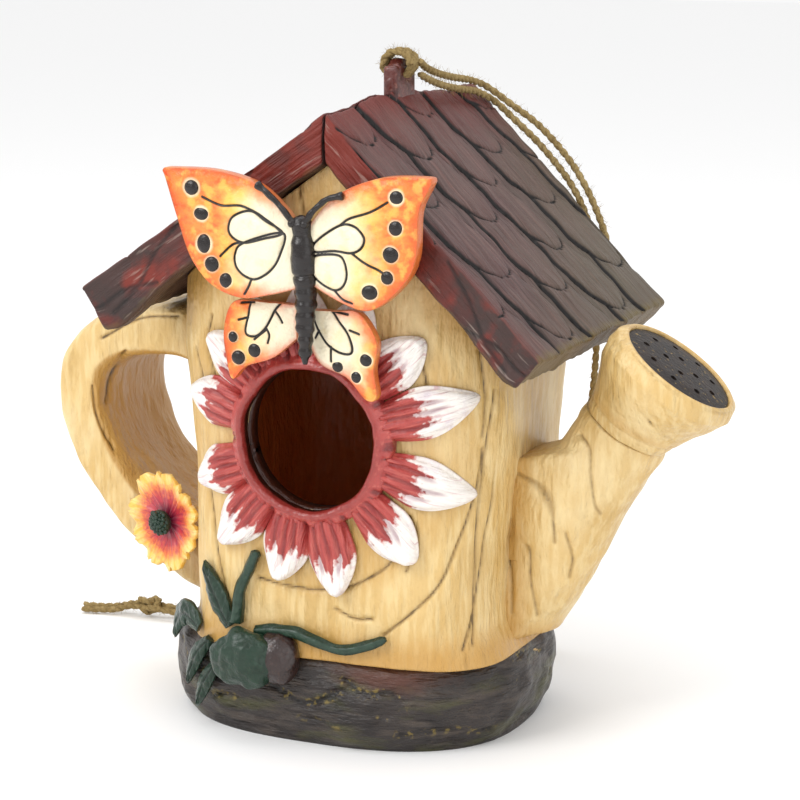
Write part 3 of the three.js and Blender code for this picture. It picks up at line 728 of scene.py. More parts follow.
class BIRDHOUSE_OT_twine(bpy.types.Operator):
    """Make the jute hanging loop: both strands, the hitch on the lug and the knot"""
    bl_idname = "birdhouse.twine"
    bl_label = "Jute twine"

    def execute(self, context):
        jute = jute_twine()
        tree = twine_tree(jute)
        hitch = twine_piece("twine_round_the_lug", hitch_line(), tree)
        place_piece(hitch, jute, "jute_twine", "twine_hitch")
        knot = twine_piece("twine_overhand_knot", knot_line(), tree)
        place_piece(knot, jute, "jute_twine", "twine_knot")
        for which, (strand, tail) in STRANDS.items():
            line = catmull(strand + tail, 6)
            cord = twine_piece(f"hanging_twine_{which}", line, tree)
            place_piece(cord, jute, "jute_twine", f"twine_strand_{which}", f"twine_tail_{which}")
        return {"FINISHED"}


# ------------------------------------------------------------------ the can
def can_cracks():
    """Lines carved in the can, each laid on its surface."""
    front = [
        [(-22.5, 54.3), (-12.8, 52.8), (-1.5, 52.6), (9.7, 54.7), (20.8, 60.9), (25.2, 65.1)],
        [(-39.4, 81.1), (-37.9, 71.8), (-36.9, 60.2), (-33.6, 45.6)],
        [(56.2, 103.9), (55.7, 97.8), (53.1, 85.5), (47.9, 71.7), (41.5, 58.7), (32.8, 49.4),
         (21.9, 40.2)],
        [(61, 123), (57.5, 104), (55.6, 88), (54.4, 60), (53.6, 40)],
        [(62.4, 104.5), (58, 73.8), (54.4, 53), (50.2, 38.1)],
        [(56, 135), (57.5, 122), (56.4, 108)],
        [(-44, 128), (-42, 118), (-43, 108)], [(-38, 139), (-40, 130), (-37, 119)],
        [(34, 133), (37, 121), (35, 112)], [(30, 62), (33, 74), (31, 80)],
        [(5, 47), (12, 44.5), (18, 45)], [(-8, 186), (-5, 170), (-9, 158)],
    ]
    lines = [on_front(line) for line in front]
    right = CAN_X + CAN_HALF_WIDTH * 0.965
    sides = [
        [(right, 24, 130), (right - 1, 20, 108), (right - 4, 24, 84), (right - 4, 20, 60)],
        [(right, 2, 122), (right - 3, -2, 100), (right - 4, 3, 78)],
        [(-right - 2, 20, 132), (-right, 26, 104), (-right + 2, 22, 74), (-right + 1, 24, 44)],
        [(-right - 2, -20, 60), (-right, -24, 46)],
    ]
    lines += [catmull(line) for line in sides]
    back = CAN_HALF_DEPTH
    rear = [[(-36, 150), (-32, 118), (-37, 92), (-33, 60), (-36, 40)],
            [(34, 140), (36, 112), (32, 84), (35, 50)], [(0, 176), (4, 150), (-2, 128), (3, 100)],
            [(-14, 100), (-18, 84), (-15, 66)], [(20, 46), (8, 41), (-8, 43), (-20, 39)]]
    for line in rear:
        flat = catmull(line)
        lines.append(np.stack([flat[:, 0], np.full(len(flat), back), flat[:, 1]], 1))
    return lines


def stitch(points, first, second):
    """Triangles between two closed loops of points that run the same way round."""
    middle = points[first].mean(0)
    near, far = sorted(np.argsort(np.ptp(points[first], axis=0))[-2:])
    rings = []
    for loop in (first, second):
        way = points[loop] - middle
        angle = np.unwrap(np.arctan2(way[:, far], way[:, near]))
        if angle[-1] < angle[0]:
            loop, angle = loop[::-1], angle[::-1]
        start = int(np.argmin(angle % (2 * np.pi)))
        angle = np.roll(angle % (2 * np.pi), -start)
        rings.append((np.roll(loop, -start), np.append(np.maximum.accumulate(angle), 7.0)))
    (one, one_at), (two, two_at) = rings
    faces, i, j = [], 0, 0
    while i < len(one) or j < len(two):
        a, b = one[i % len(one)], two[j % len(two)]
        if j >= len(two) or (i < len(one) and one_at[i + 1] <= two_at[j + 1]):
            i += 1
            faces.append([int(a), int(b), int(one[i % len(one)])])
        else:
            j += 1
            faces.append([int(a), int(b), int(two[j % len(two)])])
    return faces


def can_grid(columns, rows, bottom, inset):
    """Rings of the can's wall from bottom up to the roof, their outward directions."""
    unit = rounded_outline(columns, CAN_HALF_WIDTH, CAN_HALF_DEPTH, CAN_SQUARENESS)
    unit /= [CAN_HALF_WIDTH, CAN_HALF_DEPTH]
    top = under_roof(CAN_X + unit[:, 0] * CAN_HALF_WIDTH) - 0.4
    z = bottom + (top - bottom) * np.linspace(0, 1, rows)[:, None]
    half = can_half_width(z)
    skin = np.stack([CAN_X + unit[:, 0] * half, unit[:, 1] * CAN_HALF_DEPTH + 0 * z, z], 2)
    out = np.stack([np.sign(unit[:, 0]) * np.abs(unit[:, 0]) ** 3 / half,
                    np.sign(unit[:, 1]) * np.abs(unit[:, 1]) ** 3 / CAN_HALF_DEPTH + 0 * z,
                    0 * z], 2)
    out /= np.linalg.norm(out, axis=2, keepdims=True)
    return skin - out * inset, out, top


def pierced(skin, quads, holes):
    """The quads left round the holes, and each hole's edge points moved onto its circle."""
    keep, edges = np.ones(len(quads), bool), []
    for centre, radius, side in holes:
        middle = skin[quads].mean(1)
        near = np.hypot(middle[:, 0] - centre[0], middle[:, 2] - centre[1]) < radius
        inside = near & (middle[:, 1] * side > 0)
        steps = {(a, b) for quad in quads[inside].tolist()
                 for a, b in zip(quad, quad[1:] + quad[:1])}
        after = {a: b for a, b in steps if (b, a) not in steps}
        edge = [next(iter(after))]
        while after[edge[-1]] != edge[0]:
            edge.append(after[edge[-1]])
        edge = np.array(edge)
        way = skin[edge][:, [0, 2]] - centre
        way *= radius / np.linalg.norm(way, axis=1, keepdims=True)
        skin[edge, 0], skin[edge, 2] = centre[0] + way[:, 0], centre[1] + way[:, 1]
        keep &= ~inside
        edges.append(edge)
    return quads[keep], edges


def build_can():
    wall, floor, bottom = sizes().wall / MM, 6.0, CAN_LOW[2]
    columns, rows, inner_columns, inner_rows = 430, 190, 120, 56
    outer, out, top = can_grid(columns, rows, bottom, 0.0)
    inner, _, _ = can_grid(inner_columns, inner_rows, bottom + floor, wall)
    groove = carved(outer, can_cracks(), 0.75)
    planks = 0.5 + 0.5 * np.sin(outer[:, :, 0] * 0.42 + ripple(outer, 70, 5))
    lumps = 0.55 * ripple(outer, 75, 11) + 0.16 * ripple(outer, 17, 12) - 0.5
    sink = lumps - 0.25 * planks - 1.1 * sizes().carving / MM * groove
    skin = (outer + out * sink[:, :, None]).reshape(-1, 3)
    lining = inner.reshape(-1, 3)
    holes = [(ENTRY, ENTRY_RADIUS + 0.6, -1), (CLEAN_OUT, CLEAN_OUT_RADIUS, 1)]
    quads, edges = pierced(skin, ring_faces(rows, columns), holes)
    lining_quads, lining_edges = pierced(lining, ring_faces(inner_rows, inner_columns), holes)
    count = len(skin)
    points = np.vstack([skin, lining, [[CAN_X, 0, bottom], [CAN_X, 0, bottom + floor]]])
    faces = quads.tolist() + (lining_quads[:, ::-1] + count).tolist()
    for edge, lining_edge in zip(edges, lining_edges):
        faces += stitch(points, edge, lining_edge + count)
    around, inner_around = np.arange(columns), np.arange(inner_columns)
    faces += stitch(points, (rows - 1) * columns + around,
                    count + (inner_rows - 1) * inner_columns + inner_around)
    foot = len(points) - 2
    faces += [[foot, int(c), int((c + 1) % columns)] for c in around]
    faces += [[foot + 1, count + int((c + 1) % inner_columns), count + int(c)]
              for c in inner_around]
    z = outer[:, :, 2]
    # Painted shade: ochre under the eaves, near the base and round the flower's petals.
    eaves = smooth(top - z, 26, 4) * smooth(np.abs(outer[:, :, 0] - CAN_X), 14, 46)
    petals = np.hypot(outer[:, :, 0] - ENTRY[0], z - ENTRY[1])
    behind = smooth(petals, 56, 46) * (outer[:, :, 1] < 0) * 0.45
    shade = np.maximum(np.maximum(eaves, smooth(z, 46, 32)), behind)
    spare = np.zeros(len(lining) + 2)
    # Painted shade: the entrance hole's edge, on the wall and on the lining, is dark brown like the
    # shaded inside.
    cut = np.zeros(len(points))
    cut[edges[0]] = 1
    cut[lining_edges[0] + count] = 1
    values = {"groove": np.concatenate([groove.ravel(), spare]),
              "shade": np.concatenate([shade.ravel(), spare]),
              "inside": np.concatenate([np.zeros(count), spare + 1]), "cut": cut}
    return mesh_object("can_shell", points, faces, values)


def cream_paint(name="cream resin paint"):
    """Satin cream paint over cast resin: ochre painted shade in its corners, pale where it is rubbed.
    """
    def layers(tree):
        brushed = mottle(tree, 9.0, 0.42, 0.68, stretch=(1, 1, 5))
        fine = mottle(tree, 2.2, 0.45, 0.62, stretch=(1, 1, 7), shift=2.0)
        patches = mottle(tree, 30.0, 0.42, 0.62, shift=5.0)
        pale = mottle(tree, 26.0, 0.5, 0.72, shift=9.0, stretch=(1, 1, 1.6))
        return [(patches, 0xBE9A58, 0.65), (pale, 0xE9D5A6, 0.75),
                (brushed, 0xC9A562, 0.55), (fine, 0xE6CF9A, 0.45),
                # Painted shade in ochre, taken from the shade value.
                (mark(tree, "shade", 0.1, 1.0, ragged=0.3, size=6.0), tone("ochre"), 0.8),
                (mark(tree, "groove", 0.3, 0.95, ragged=0.3), 0x87662E, 0.75),
                (mark(tree, "groove", 0.75, 1.1, ragged=0.9, size=4.0), 0x3A2A14, 0.85),
                (mark(tree, "inside", 0.4, 0.6), 0xC8662A, 1.0),
                # Painted shade: dark brown at the entrance hole's edge.
                (mark(tree, "cut", 0.3, 0.7), 0x3A1608, 1.0)]

    def relief(tree):
        return [(mottle(tree, 3.2, 0.3, 0.75, stretch=(1, 1, 7)), 0.45),
                (mottle(tree, 1.1, 0.3, 0.7, stretch=(1, 1, 4), shift=4.0), 0.15),
                (mottle(tree, 9.0, 0.3, 0.7, stretch=(1, 1, 1.7), shift=1.0), 1.1)]
    return cast_resin(name, tone("cream"), layers, roughness=0.42, relief=relief, coat=0.12)


class BIRDHOUSE_OT_can(bpy.types.Operator):
    """Make the hollow can with its entrance and clean-out holes"""
    bl_idname = "birdhouse.can"
    bl_label = "Can"

    def execute(self, context):
        place_piece(build_can(), cream_paint(), "cream_resin", "can_body")
        return {"FINISHED"}


# ------------------------------------------------------------------ the roof
def shingles(down, depth, seed):
    """Long leaf-shaped tongues lapped down the slope: their relief and the lines round them."""
    rng = np.random.default_rng(seed)
    half, pitch, reach, end = sizes().shingle_width / MM / 2, 28.0, 76.0, 17.0
    tongues = []
    for column in range(-1, 6):
        for row in range(-1, 6):
            low = 14 + pitch * (row + 0.5 * (column % 2)) + rng.uniform(-3, 3)
            centre = 8 + 26.5 * column + 0.25 * low + rng.uniform(-2, 2)
            tongues.append((low, centre, rng.uniform(0.88, 1.1), rng.uniform(0, 6)))
    relief, groove = np.zeros(down.shape), np.zeros(down.shape)
    for low, centre, size, phase in sorted(tongues, reverse=True):
        above = low - down
        lean = centre - 0.28 * above + 0.8 * np.sin(above / 15 + phase)
        rounded = np.sqrt(np.clip(1 - ((end - above) / end) ** 2, 0, 1))
        taper = np.where(above < end, rounded, 1 - 0.9 * (above - end) / (reach - end))
        width = half * size * taper
        inside = np.minimum(width - np.abs(depth - lean), above * 1.4)
        body = (inside > 0) & (above < reach)
        swell = 0.7 + 0.25 * smooth(above, 40, 2) + 0.25 * smooth(inside, 0, 5)
        relief = np.where(body, swell, relief)
        groove = np.where(body, 0, groove)
        close = (above > -2) & (above < reach)
        groove = np.maximum(groove, np.exp(-(inside / 0.72) ** 2) * close)
    return relief, groove


def build_roof(side, seed):
    down, inward, corner, thick, _ = slope_of(side)
    outward = np.sign(down[0])
    length = np.linalg.norm(corner - RIDGE)
    others = [slope_of(name) for name in EAVES]
    lows = [c + i * t for _, i, c, t, _ in others]
    falls = [d[1] / d[0] for d, *_ in others]
    under_x = ((lows[0][1] - lows[0][0] * falls[0]) - (lows[1][1] - lows[1][0] * falls[1]))
    under_x /= falls[1] - falls[0]
    under = np.array([under_x, lows[0][1] + falls[0] * (under_x - lows[0][0])])
    grid, faces = block(150, 172, 20)
    size = np.array([length, ROOF_DEPTH, thick])
    local, out = soften((grid - 0.5) * size, size / 2, 1.3)
    u, v, w = (local / size + 0.5).T
    top = RIDGE + (corner - RIDGE) * u[:, None]
    low_corner = corner + inward * thick
    bottom = under + (low_corner - under) * u[:, None]
    flat = top + (bottom - top) * w[:, None]
    y = ROOF_FRONT + RIDGE_SETBACK * (1 - u) + ROOF_DEPTH * v
    points = np.stack([flat[:, 0] + outward * 0.15 * (1 - u), y, flat[:, 1]], 1)
    along, across = u * length, v * ROOF_DEPTH
    normal = (out[:, :1] * np.append(down, 0)[[0, 2, 1]] + out[:, 1:2] * np.array([0, 1.0, 0])
              + out[:, 2:] * np.append(inward, 0)[[0, 2, 1]])
    face_up = np.clip(-out[:, 2], 0, 1)
    relief, groove = shingles(along, across, seed)
    rake = np.clip(-out[:, 1], 0, 1)
    strokes = [
        [(60, 1), (72, 4), (84, 8.5), (96, 9.5)], [(30, 1.5), (42, 5), (50, 10)],
        [(76, 11), (88, 7), (102, 6.5)],
    ]
    face = np.stack([along, w * thick], 1)
    scratches = np.zeros(len(along))
    for stroke in strokes:
        scratches = np.maximum(scratches, carved(face, [catmull(stroke)], 0.8))
    scratches *= 0.5 * rake
    groove = np.maximum(groove * face_up, scratches)
    carve = sizes().carving / MM
    lift = face_up * (relief - 1.0) - groove * carve * 1.15
    lift += 0.5 * ripple(points, 26, seed + 1) * (1 - face_up) + 0.2 * ripple(points, 8, seed + 2)
    points += normal * (lift - 0.3)[:, None]
    barge = w * (1 - smooth(across, 7, 15)) * smooth(u, 0.3, 0.6)
    wave = 0.9 + (1.1 if side == "left" else 0.35) * np.sin(along / 7.5 + 1.0)
    wave += (2.8 if side == "left" else 0) * smooth(u, 0.5, 0.8) - 1.3 * smooth(u, 0.95, 1.0)
    points += np.append(inward, 0)[[0, 2, 1]] * (barge * wave)[:, None]
    saddle = smooth(across, 8, 40) * (1 - smooth(across, 50, 95))
    points[:, 2] += 3.0 * saddle * (1 - smooth(u, 0, 0.4)) * (1 - w)
    values = {
        "groove": groove, "rake": rake,
        "under": np.clip(out[:, 2], 0, 1),
        "red": np.maximum(0.55 * np.exp(-across / 7), np.exp(-along / 15)) * (face_up + 0.2),
        "far": smooth(across / ROOF_DEPTH + along / length, 0.7, 1.8) * face_up,
        "edge": smooth(along, length - 6, length) * (1 - rake) + 0.7 * rake * smooth(w, 0.75, 1.0),
        "step": smooth(relief, 0.35, 1.3) * face_up, "fall": u,
    }
    uv = np.stack([along * MM, (across + w * thick) * MM + 0.2 * seed], 1)
    return mesh_object(f"roof_slope_{side}", points, faces, values, uv)


def roof_paint():
    """Painted resin roof: purple-brown over dark ground, dry-brushed so the carving stays dark."""
    def layers(tree):
        long_grain = mottle(tree, 1.6, 0.42, 0.68, stretch=(16, 1, 1), space="UV")
        pale_grain = mottle(tree, 1.1, 0.5, 0.7, stretch=(22, 1, 1), shift=2.0, space="UV")
        red = mark(tree, "red", 0.15, 0.95, ragged=0.5, size=7.0)
        rake = mark(tree, "rake", 0.35, 0.75, ragged=0.25)
        light = mottle(tree, 1.5, 0.6, 0.68, stretch=(9, 1, 1), shift=7.0, space="UV")
        low_rake = both(tree, rake, mark(tree, "fall", 0.35, 0.75, ragged=0.5, size=9.0))
        return [(mottle(tree, 20.0, 0.4, 0.7), 0x4B3336, 0.7),
                (long_grain, 0x33221F, 0.75), (pale_grain, 0x80625B, 0.55),
                (mark(tree, "step", 0.5, 1.0, ragged=0.4), 0x6B4A44, 0.3),
                (mark(tree, "far", 0.1, 1.0, ragged=0.4, size=9.0), 0x5A5844, 0.55),
                (red, 0x6E241C, 0.7),
                (rake, tone("mahogany"), 0.95),
                (both(tree, rake, mottle(tree, 14.0, 0.45, 0.56)), 0x7A2A1E, 0.7),
                (both(tree, low_rake, mottle(tree, 12.0, 0.36, 0.5, shift=6.0)),
                 0x352A27, 0.9),
                (both(tree, rake, light), 0xB9A79B, 0.3),
                (mark(tree, "edge", 0.35, 1.0, ragged=0.9, size=4.0), 0x6F5F33, 0.6),
                (mark(tree, "under", 0.3, 0.8), 0x4A3527, 0.8),
                (mark(tree, "groove", 0.15, 0.6, ragged=0.12), 0x0D0807, 1.0)]

    def relief(tree):
        return [(mottle(tree, 1.4, 0.3, 0.7, stretch=(14, 1, 1), space="UV"), 0.45),
                (mottle(tree, 6.0, 0.3, 0.7), 0.3)]
    return cast_resin("painted resin shingles", tone("shingle"), layers, roughness=0.5,
                      relief=relief, specular=0.35)


def mahogany_paint():
    """Gloss dark red paint, worn to a brown ground on its high places."""
    def layers(tree):
        return [(mottle(tree, 5.0, 0.4, 0.65), 0x2E1210, 0.7),
                (mottle(tree, 1.6, 0.55, 0.7, shift=3.0), 0xA46A58, 0.4)]
    return cast_resin("mahogany red gloss paint", tone("mahogany"), layers, roughness=0.35,
                      relief=[(2.0, 0.25)], coat=0.15)


def build_lug():
    low, high = box_of("ridge_lug")
    x, y = (low[0] + high[0]) / 2, (low[1] + high[1]) / 2
    z = high[2] - 8.0
    turn = np.linspace(0, 2 * np.pi, 73)
    ring = np.stack([np.full(73, x), y + 6.2 * np.cos(turn), z + 6.2 * np.sin(turn)], 1)
    rings, out = sweep(ring, 72, 20, 2.4, 1.7, 2.6, across=(1, 0, 0))
    rings = rings[:-1] + out[:-1] * 0.25 * ripple(rings[:-1], 5, 3)[..., None]
    count = rings.shape[0] * rings.shape[1]
    faces = ring_faces(rings.shape[0], 20).tolist()
    last = count - 20
    faces += [[last + c, last + (c + 1) % 20, (c + 1) % 20, c] for c in range(20)]
    grid, foot_faces = block(6, 20, 14)
    half = np.array([2.5, 7.6, 6.5])
    foot, _ = soften((grid * 2 - 1) * half, half, 1.2)
    foot = foot + [x, y, low[2] + 5.8]
    return merged([(rings.reshape(-1, 3), faces, {}), (foot, foot_faces, {})])


class BIRDHOUSE_OT_roof(bpy.types.Operator):
    """Make both shingled roof slopes and the lug on the ridge"""
    bl_idname = "birdhouse.roof"
    bl_label = "Roof"

    def execute(self, context):
        paint = roof_paint()
        for seed, side in enumerate(EAVES):
            place_piece(build_roof(side, seed + 1), paint, "shingle_resin", f"roof_{side}_slab")
        points, faces, _ = build_lug()
        lug = mesh_object("ridge_lug_ring", points, faces)
        place_piece(lug, mahogany_paint(), "mahogany_resin", "ridge_lug")
        return {"FINISHED"}


# ------------------------------------------------------------------ the rock base
BASE_X, BASE_HALF_WIDTH, BASE_HALF_DEPTH, BASE_SQUARENESS = -6.5, 63.5, 52.0, 2.6
BASE_PROFILE = [(0, 0.9), (7, 0.965), (17, 1), (26, 0.985), (40, 0.93)]


def rock_top(x):
    return 31.0 + smooth(x, 10, 55)


def rock_share(z):
    heights, shares = zip(*BASE_PROFILE)
    return np.interp(z, heights, shares)


def build_rock():
    columns, rows, cap = 300, 46, 60
    unit = rounded_outline(columns, BASE_HALF_WIDTH, BASE_HALF_DEPTH, BASE_SQUARENESS)
    edge_top = rock_top(BASE_X + unit[:, 0])
    t = np.linspace(0, 1, rows)[:, None]
    z = edge_top * t
    share = rock_share(z) * (1 - 0.05 * smooth(z / edge_top, 0.86, 1.0))
    side = np.stack([BASE_X + unit[:, 0] * share, unit[:, 1] * share, z], 2)
    out = np.stack([unit[:, 0] / BASE_HALF_WIDTH ** 2, unit[:, 1] / BASE_HALF_DEPTH ** 2,
                    0 * unit[:, 0]], 1)
    out /= np.linalg.norm(out, axis=1, keepdims=True)
    lines = [
        [(-13, -52, 17), (-5, -52, 14.5), (6, -52, 19), (15, -52, 25.5), (26, -49, 29)],
        [(-60, -32, 24), (-46, -46, 19), (-30, -51, 22), (-14, -52, 17)],
        [(-50, -42, 9), (-36, -49, 12), (-20, -52, 8), (-4, -52, 9.5), (12, -51, 6)],
        [(20, -48, 12), (34, -42, 18), (44, -34, 16), (54, -16, 20)],
        [(30, -44, 26), (44, -33, 24), (55, -12, 28), (57, 6, 24)],
        [(26, -46, 7), (40, -38, 8), (50, -26, 6)],
        [(8, -51, 24), (16, -50, 20), (24, -48, 21), (28, -46, 16)],
        [(-66, 10, 20), (-60, 30, 14), (-44, 44, 19), (-20, 51, 14), (4, 51, 18)],
        [(56, 14, 14), (44, 34, 18), (26, 46, 13), (4, 50, 9), (-30, 49, 8)],
    ]
    groove = carved(side, [catmull(line) for line in lines], 1.15)
    low = smooth(z, 0, 3)
    lumps = 0.9 * ripple(side, 38, 21) + 0.45 * ripple(side, 11, 22) - 1.2 * groove
    side = side + out[None] * ((lumps - 0.6) * low)[..., None]
    shrink = np.linspace(1, 0.02, cap)[1:, None]
    rim = side[-1]
    flat = np.stack([BASE_X + (rim[:, 0] - BASE_X) * shrink, rim[:, 1] * shrink], 2)
    across = np.abs((flat[..., 0] - CAN_X) / (CAN_HALF_WIDTH * 0.98))
    deep = np.abs(flat[..., 1] / CAN_HALF_DEPTH)
    inside = 1 - smooth((across ** 4 + deep ** 4) ** 0.25, 0.75, 0.97)
    lid = np.dstack([flat, rock_top(flat[..., 0]) - 1.4 * smooth(1 - shrink, 0, 0.08)])
    lid[..., 2] += 0.5 * ripple(lid, 14, 24) * (1 - inside)
    lid[..., 2] = lid[..., 2] * (1 - inside) + (CAN_LOW[2] + 0.8) * inside
    rings = np.concatenate([side, lid])
    points, faces = drum(rings)
    groove = np.concatenate([groove, np.zeros(lid.shape[:2])])
    chestnut = np.exp(-((rings[..., 0] - 22) / 17) ** 2 - ((rings[..., 2] - 27) / 6) ** 2)
    chestnut *= rings[..., 1] < 0
    tops = smooth(rings[..., 2], 20, 32)
    values = {"groove": with_poles(groove), "chestnut": with_poles(chestnut),
              "tops": with_poles(tops)}
    return mesh_object("rock_base_carved", points, faces, values)


def rock_paint():
    """Charcoal paint over a cast rock, olive and gold rubbed on its ridges, satin varnish."""
    def layers(tree):
        return [(mottle(tree, 14.0, 0.4, 0.7), 0x1A1514, 0.85),
                (mottle(tree, 3.0, 0.5, 0.66, stretch=(5, 5, 1), shift=2.0),
                 0x51473F, 0.6),
                (mottle(tree, 8.0, 0.54, 0.68, stretch=(3, 3, 1), shift=5.0),
                 0x4A4A22, 0.6),
                (mark(tree, "chestnut", 0.15, 0.8, ragged=0.5, size=4.0), 0x5B3427, 0.75),
                (mark(tree, "tops", 0.5, 1.0, ragged=0.8, size=3.0), 0x57493F, 0.45),
                (mark(tree, "groove", 0.3, 0.9, ragged=0.2), 0x0F0C0B, 0.9),
                (both(tree, mark(tree, "groove", 0.02, 0.25), mottle(tree, 2.6, 0.56, 0.64)),
                 0x8A7638, 0.6)]

    def relief(tree):
        return [(mottle(tree, 3.0, 0.3, 0.7, stretch=(6, 6, 1)), 1.0),
                (mottle(tree, 1.3, 0.3, 0.7, stretch=(3, 3, 1), shift=3.0), 0.3)]
    return cast_resin("rock paint on cast resin", tone("rock"), layers, roughness=0.38,
                      relief=relief, specular=0.4)


class BIRDHOUSE_OT_rock(bpy.types.Operator):
    """Make the rock base"""
    bl_idname = "birdhouse.rock"
    bl_label = "Rock base"

    def execute(self, context):
        place_piece(build_rock(), rock_paint(), "painted_rock", "rock_base")
        return {"FINISHED"}


# ------------------------------------------------------------------ handle, spout and rose
HANDLE_LINE = [(-55, 123.6), (-70, 125.8), (-91, 123), (-103, 114), (-105.5, 100), (-103, 89),
               (-97, 76.5), (-83, 59.5), (-67, 50), (-51, 45)]
SPOUT_LINE = [(34, 22), (41.9, 34.3), (57.9, 58.7), (70.2, 80.1), (84.7, 103.4)]
ROSE_CENTRE = np.array([102.0, 0.0, 124.3])
ROSE_FACING = np.array([0.58, 0.02, 0.8]) / np.linalg.norm([0.58, 0.02, 0.8])
ROSE_PROFILE = [(0, 15), (0.3, 17.5), (0.62, 22), (0.8, 23.5), (0.95, 22.5), (1, 20.6)]
PLATE_RADIUS = 19


def in_plane(line, y=0.0):
    """A smooth 3-D line from (x, z) points at one depth."""
    flat = catmull(line)
    return np.stack([flat[:, 0], np.full(len(flat), y), flat[:, 1]], 1)


TO_VIEWER = np.array([0.398, -0.893, 0.208])


def carved_in_view(points, out, flats, y, width):
    """How deep lines of (x, z) points are, drawn at depth y and cast back along the view."""
    back = points[..., 1] - y
    seen = np.stack([points[..., 0] + 0.445 * back, points[..., 2] + 0.233 * back], -1)
    return carved(seen, [catmull(flat) for flat in flats], width) * smooth(out @ TO_VIEWER, 0, 0.3)


def near_house(points):
    """How close points are to the can's side or the base's top, for the painted shade in the corners.
    """
    side = np.abs(points[..., 0] - CAN_X) - can_half_width(points[..., 2])
    return np.maximum(1 - smooth(side, 0, 10), 1 - smooth(points[..., 2] - 33, 0, 9))


def build_handle():
    t = np.linspace(0, 1, 190)
    thick = 0.5 * (18 + 7 * np.abs(2 * t - 1) ** 6)
    rings, out = sweep(in_plane(HANDLE_LINE, 5.0), 190, 150, 26.0, thick, 5.0)
    flats = [[(-66, 132), (-80, 130), (-95, 122)], [(-99, 105), (-97, 94), (-91, 84)],
             [(-86, 118), (-92, 110), (-94, 100)], [(-84, 66), (-74, 58), (-64, 52)]]
    lines = [catmull([(-112, -12, 106), (-113, -4, 98), (-111, 6, 90), (-106, 10, 80)]),
             catmull([(-103, 2, 120), (-110, 8, 112), (-112, 4, 104)])]
    groove = np.maximum(carved(rings, lines, 0.75), carved_in_view(rings, out, flats, -21, 0.7))
    # The strap's inner side, facing the window under it, gets painted shade.
    window = np.array([-76.0, 0, 92]) - rings * [1, 0, 1]
    window /= np.linalg.norm(window, axis=2, keepdims=True)
    inner = smooth((out * window).sum(2), 0.25, 0.75)
    lumps = 0.6 * ripple(rings, 40, 31) + 0.18 * ripple(rings, 12, 32) - 0.5
    rings = rings + out * (lumps - 0.9 * groove)[..., None]
    points, faces = drum(rings)
    # Painted shade: ochre near the can and the base, and on the strap's inner side.
    shade = np.maximum(0.8 * near_house(rings), 1.15 * inner)
    values = {"groove": with_poles(groove), "shade": with_poles(shade)}
    return mesh_object("handle_strap", points, faces, values)


def spout_cracks():
    """The cracks on the spout's front, as (x, z) lines at its front."""
    return [
        [(74.5, 103), (77.4, 98.4), (78, 90.4), (79.8, 80.8), (82.4, 77.5)],
        [(61.1, 92.4), (67.1, 87.7), (65.6, 76.9), (66.1, 67.1)],
        [(50.2, 75.3), (49, 66), (51.2, 54.6), (51.8, 42.1)],
        [(57.5, 64.9), (58, 54.2), (60, 46), (61, 42)],
        [(70, 70), (73, 62), (72, 56)],
    ]


def build_spout():
    t = np.linspace(0, 1, 230)
    radius = np.interp(t, [0, 0.35, 0.8, 1], [18.5, 17.5, 16.2, 15])
    rings, out = sweep(in_plane(SPOUT_LINE), 230, 260, radius, radius)
    behind = in_plane([(84, 92), (78, 80), (68, 68), (62, 52)], 15)
    groove = 0.8 * np.maximum(carved(rings, [behind], 0.9),
                              carved_in_view(rings, out, spout_cracks(), -15, 0.9))
    collar = 0.45 * np.exp(-((t - 0.97) / 0.025) ** 2)[:, None]
    lumps = 0.55 * ripple(rings, 36, 41) + 0.2 * ripple(rings, 11, 42) - 0.5
    rings = rings + out * (lumps + collar - 0.9 * groove)[..., None]
    wall = CAN_X + can_half_width(rings[..., 2]) - 3.0
    inside = (rings[..., 2] > 33) & (rings[..., 0] < wall)
    rings[..., 0] = np.where(inside, wall, rings[..., 0])
    web = smooth(out @ [-0.836, 0, 0.548], 0.1, 0.6) * smooth(rings[..., 2], 98, 91)
    rings[..., 0] -= np.maximum(rings[..., 0] - wall, 0) * web * (rings[..., 2] > 60)
    across = np.clip(np.abs(rings[..., 1]) / BASE_HALF_DEPTH, 0, 1)
    rock = BASE_HALF_WIDTH * rock_share(rings[..., 2]) * (1 - across ** 2.6) ** (1 / 2.6)
    low = smooth(rings[..., 2], rock_top(rings[..., 0]) + 3, rock_top(rings[..., 0]) - 1)
    rings[..., 0] -= np.maximum(rings[..., 0] - (BASE_X + rock - 2.0), 0) * low
    points, faces = drum(rings)
    # Painted shade: ochre where the spout meets the can and the base.
    values = {"groove": with_poles(groove), "shade": with_poles(0.85 * near_house(rings))}
    return mesh_object("spout_tube_carved", points, faces, values)


def rose_axes():
    """Two directions across the rose's face."""
    across = np.cross([0, 1.0, 0], ROSE_FACING)
    across /= np.linalg.norm(across)
    return across, np.cross(ROSE_FACING, across)


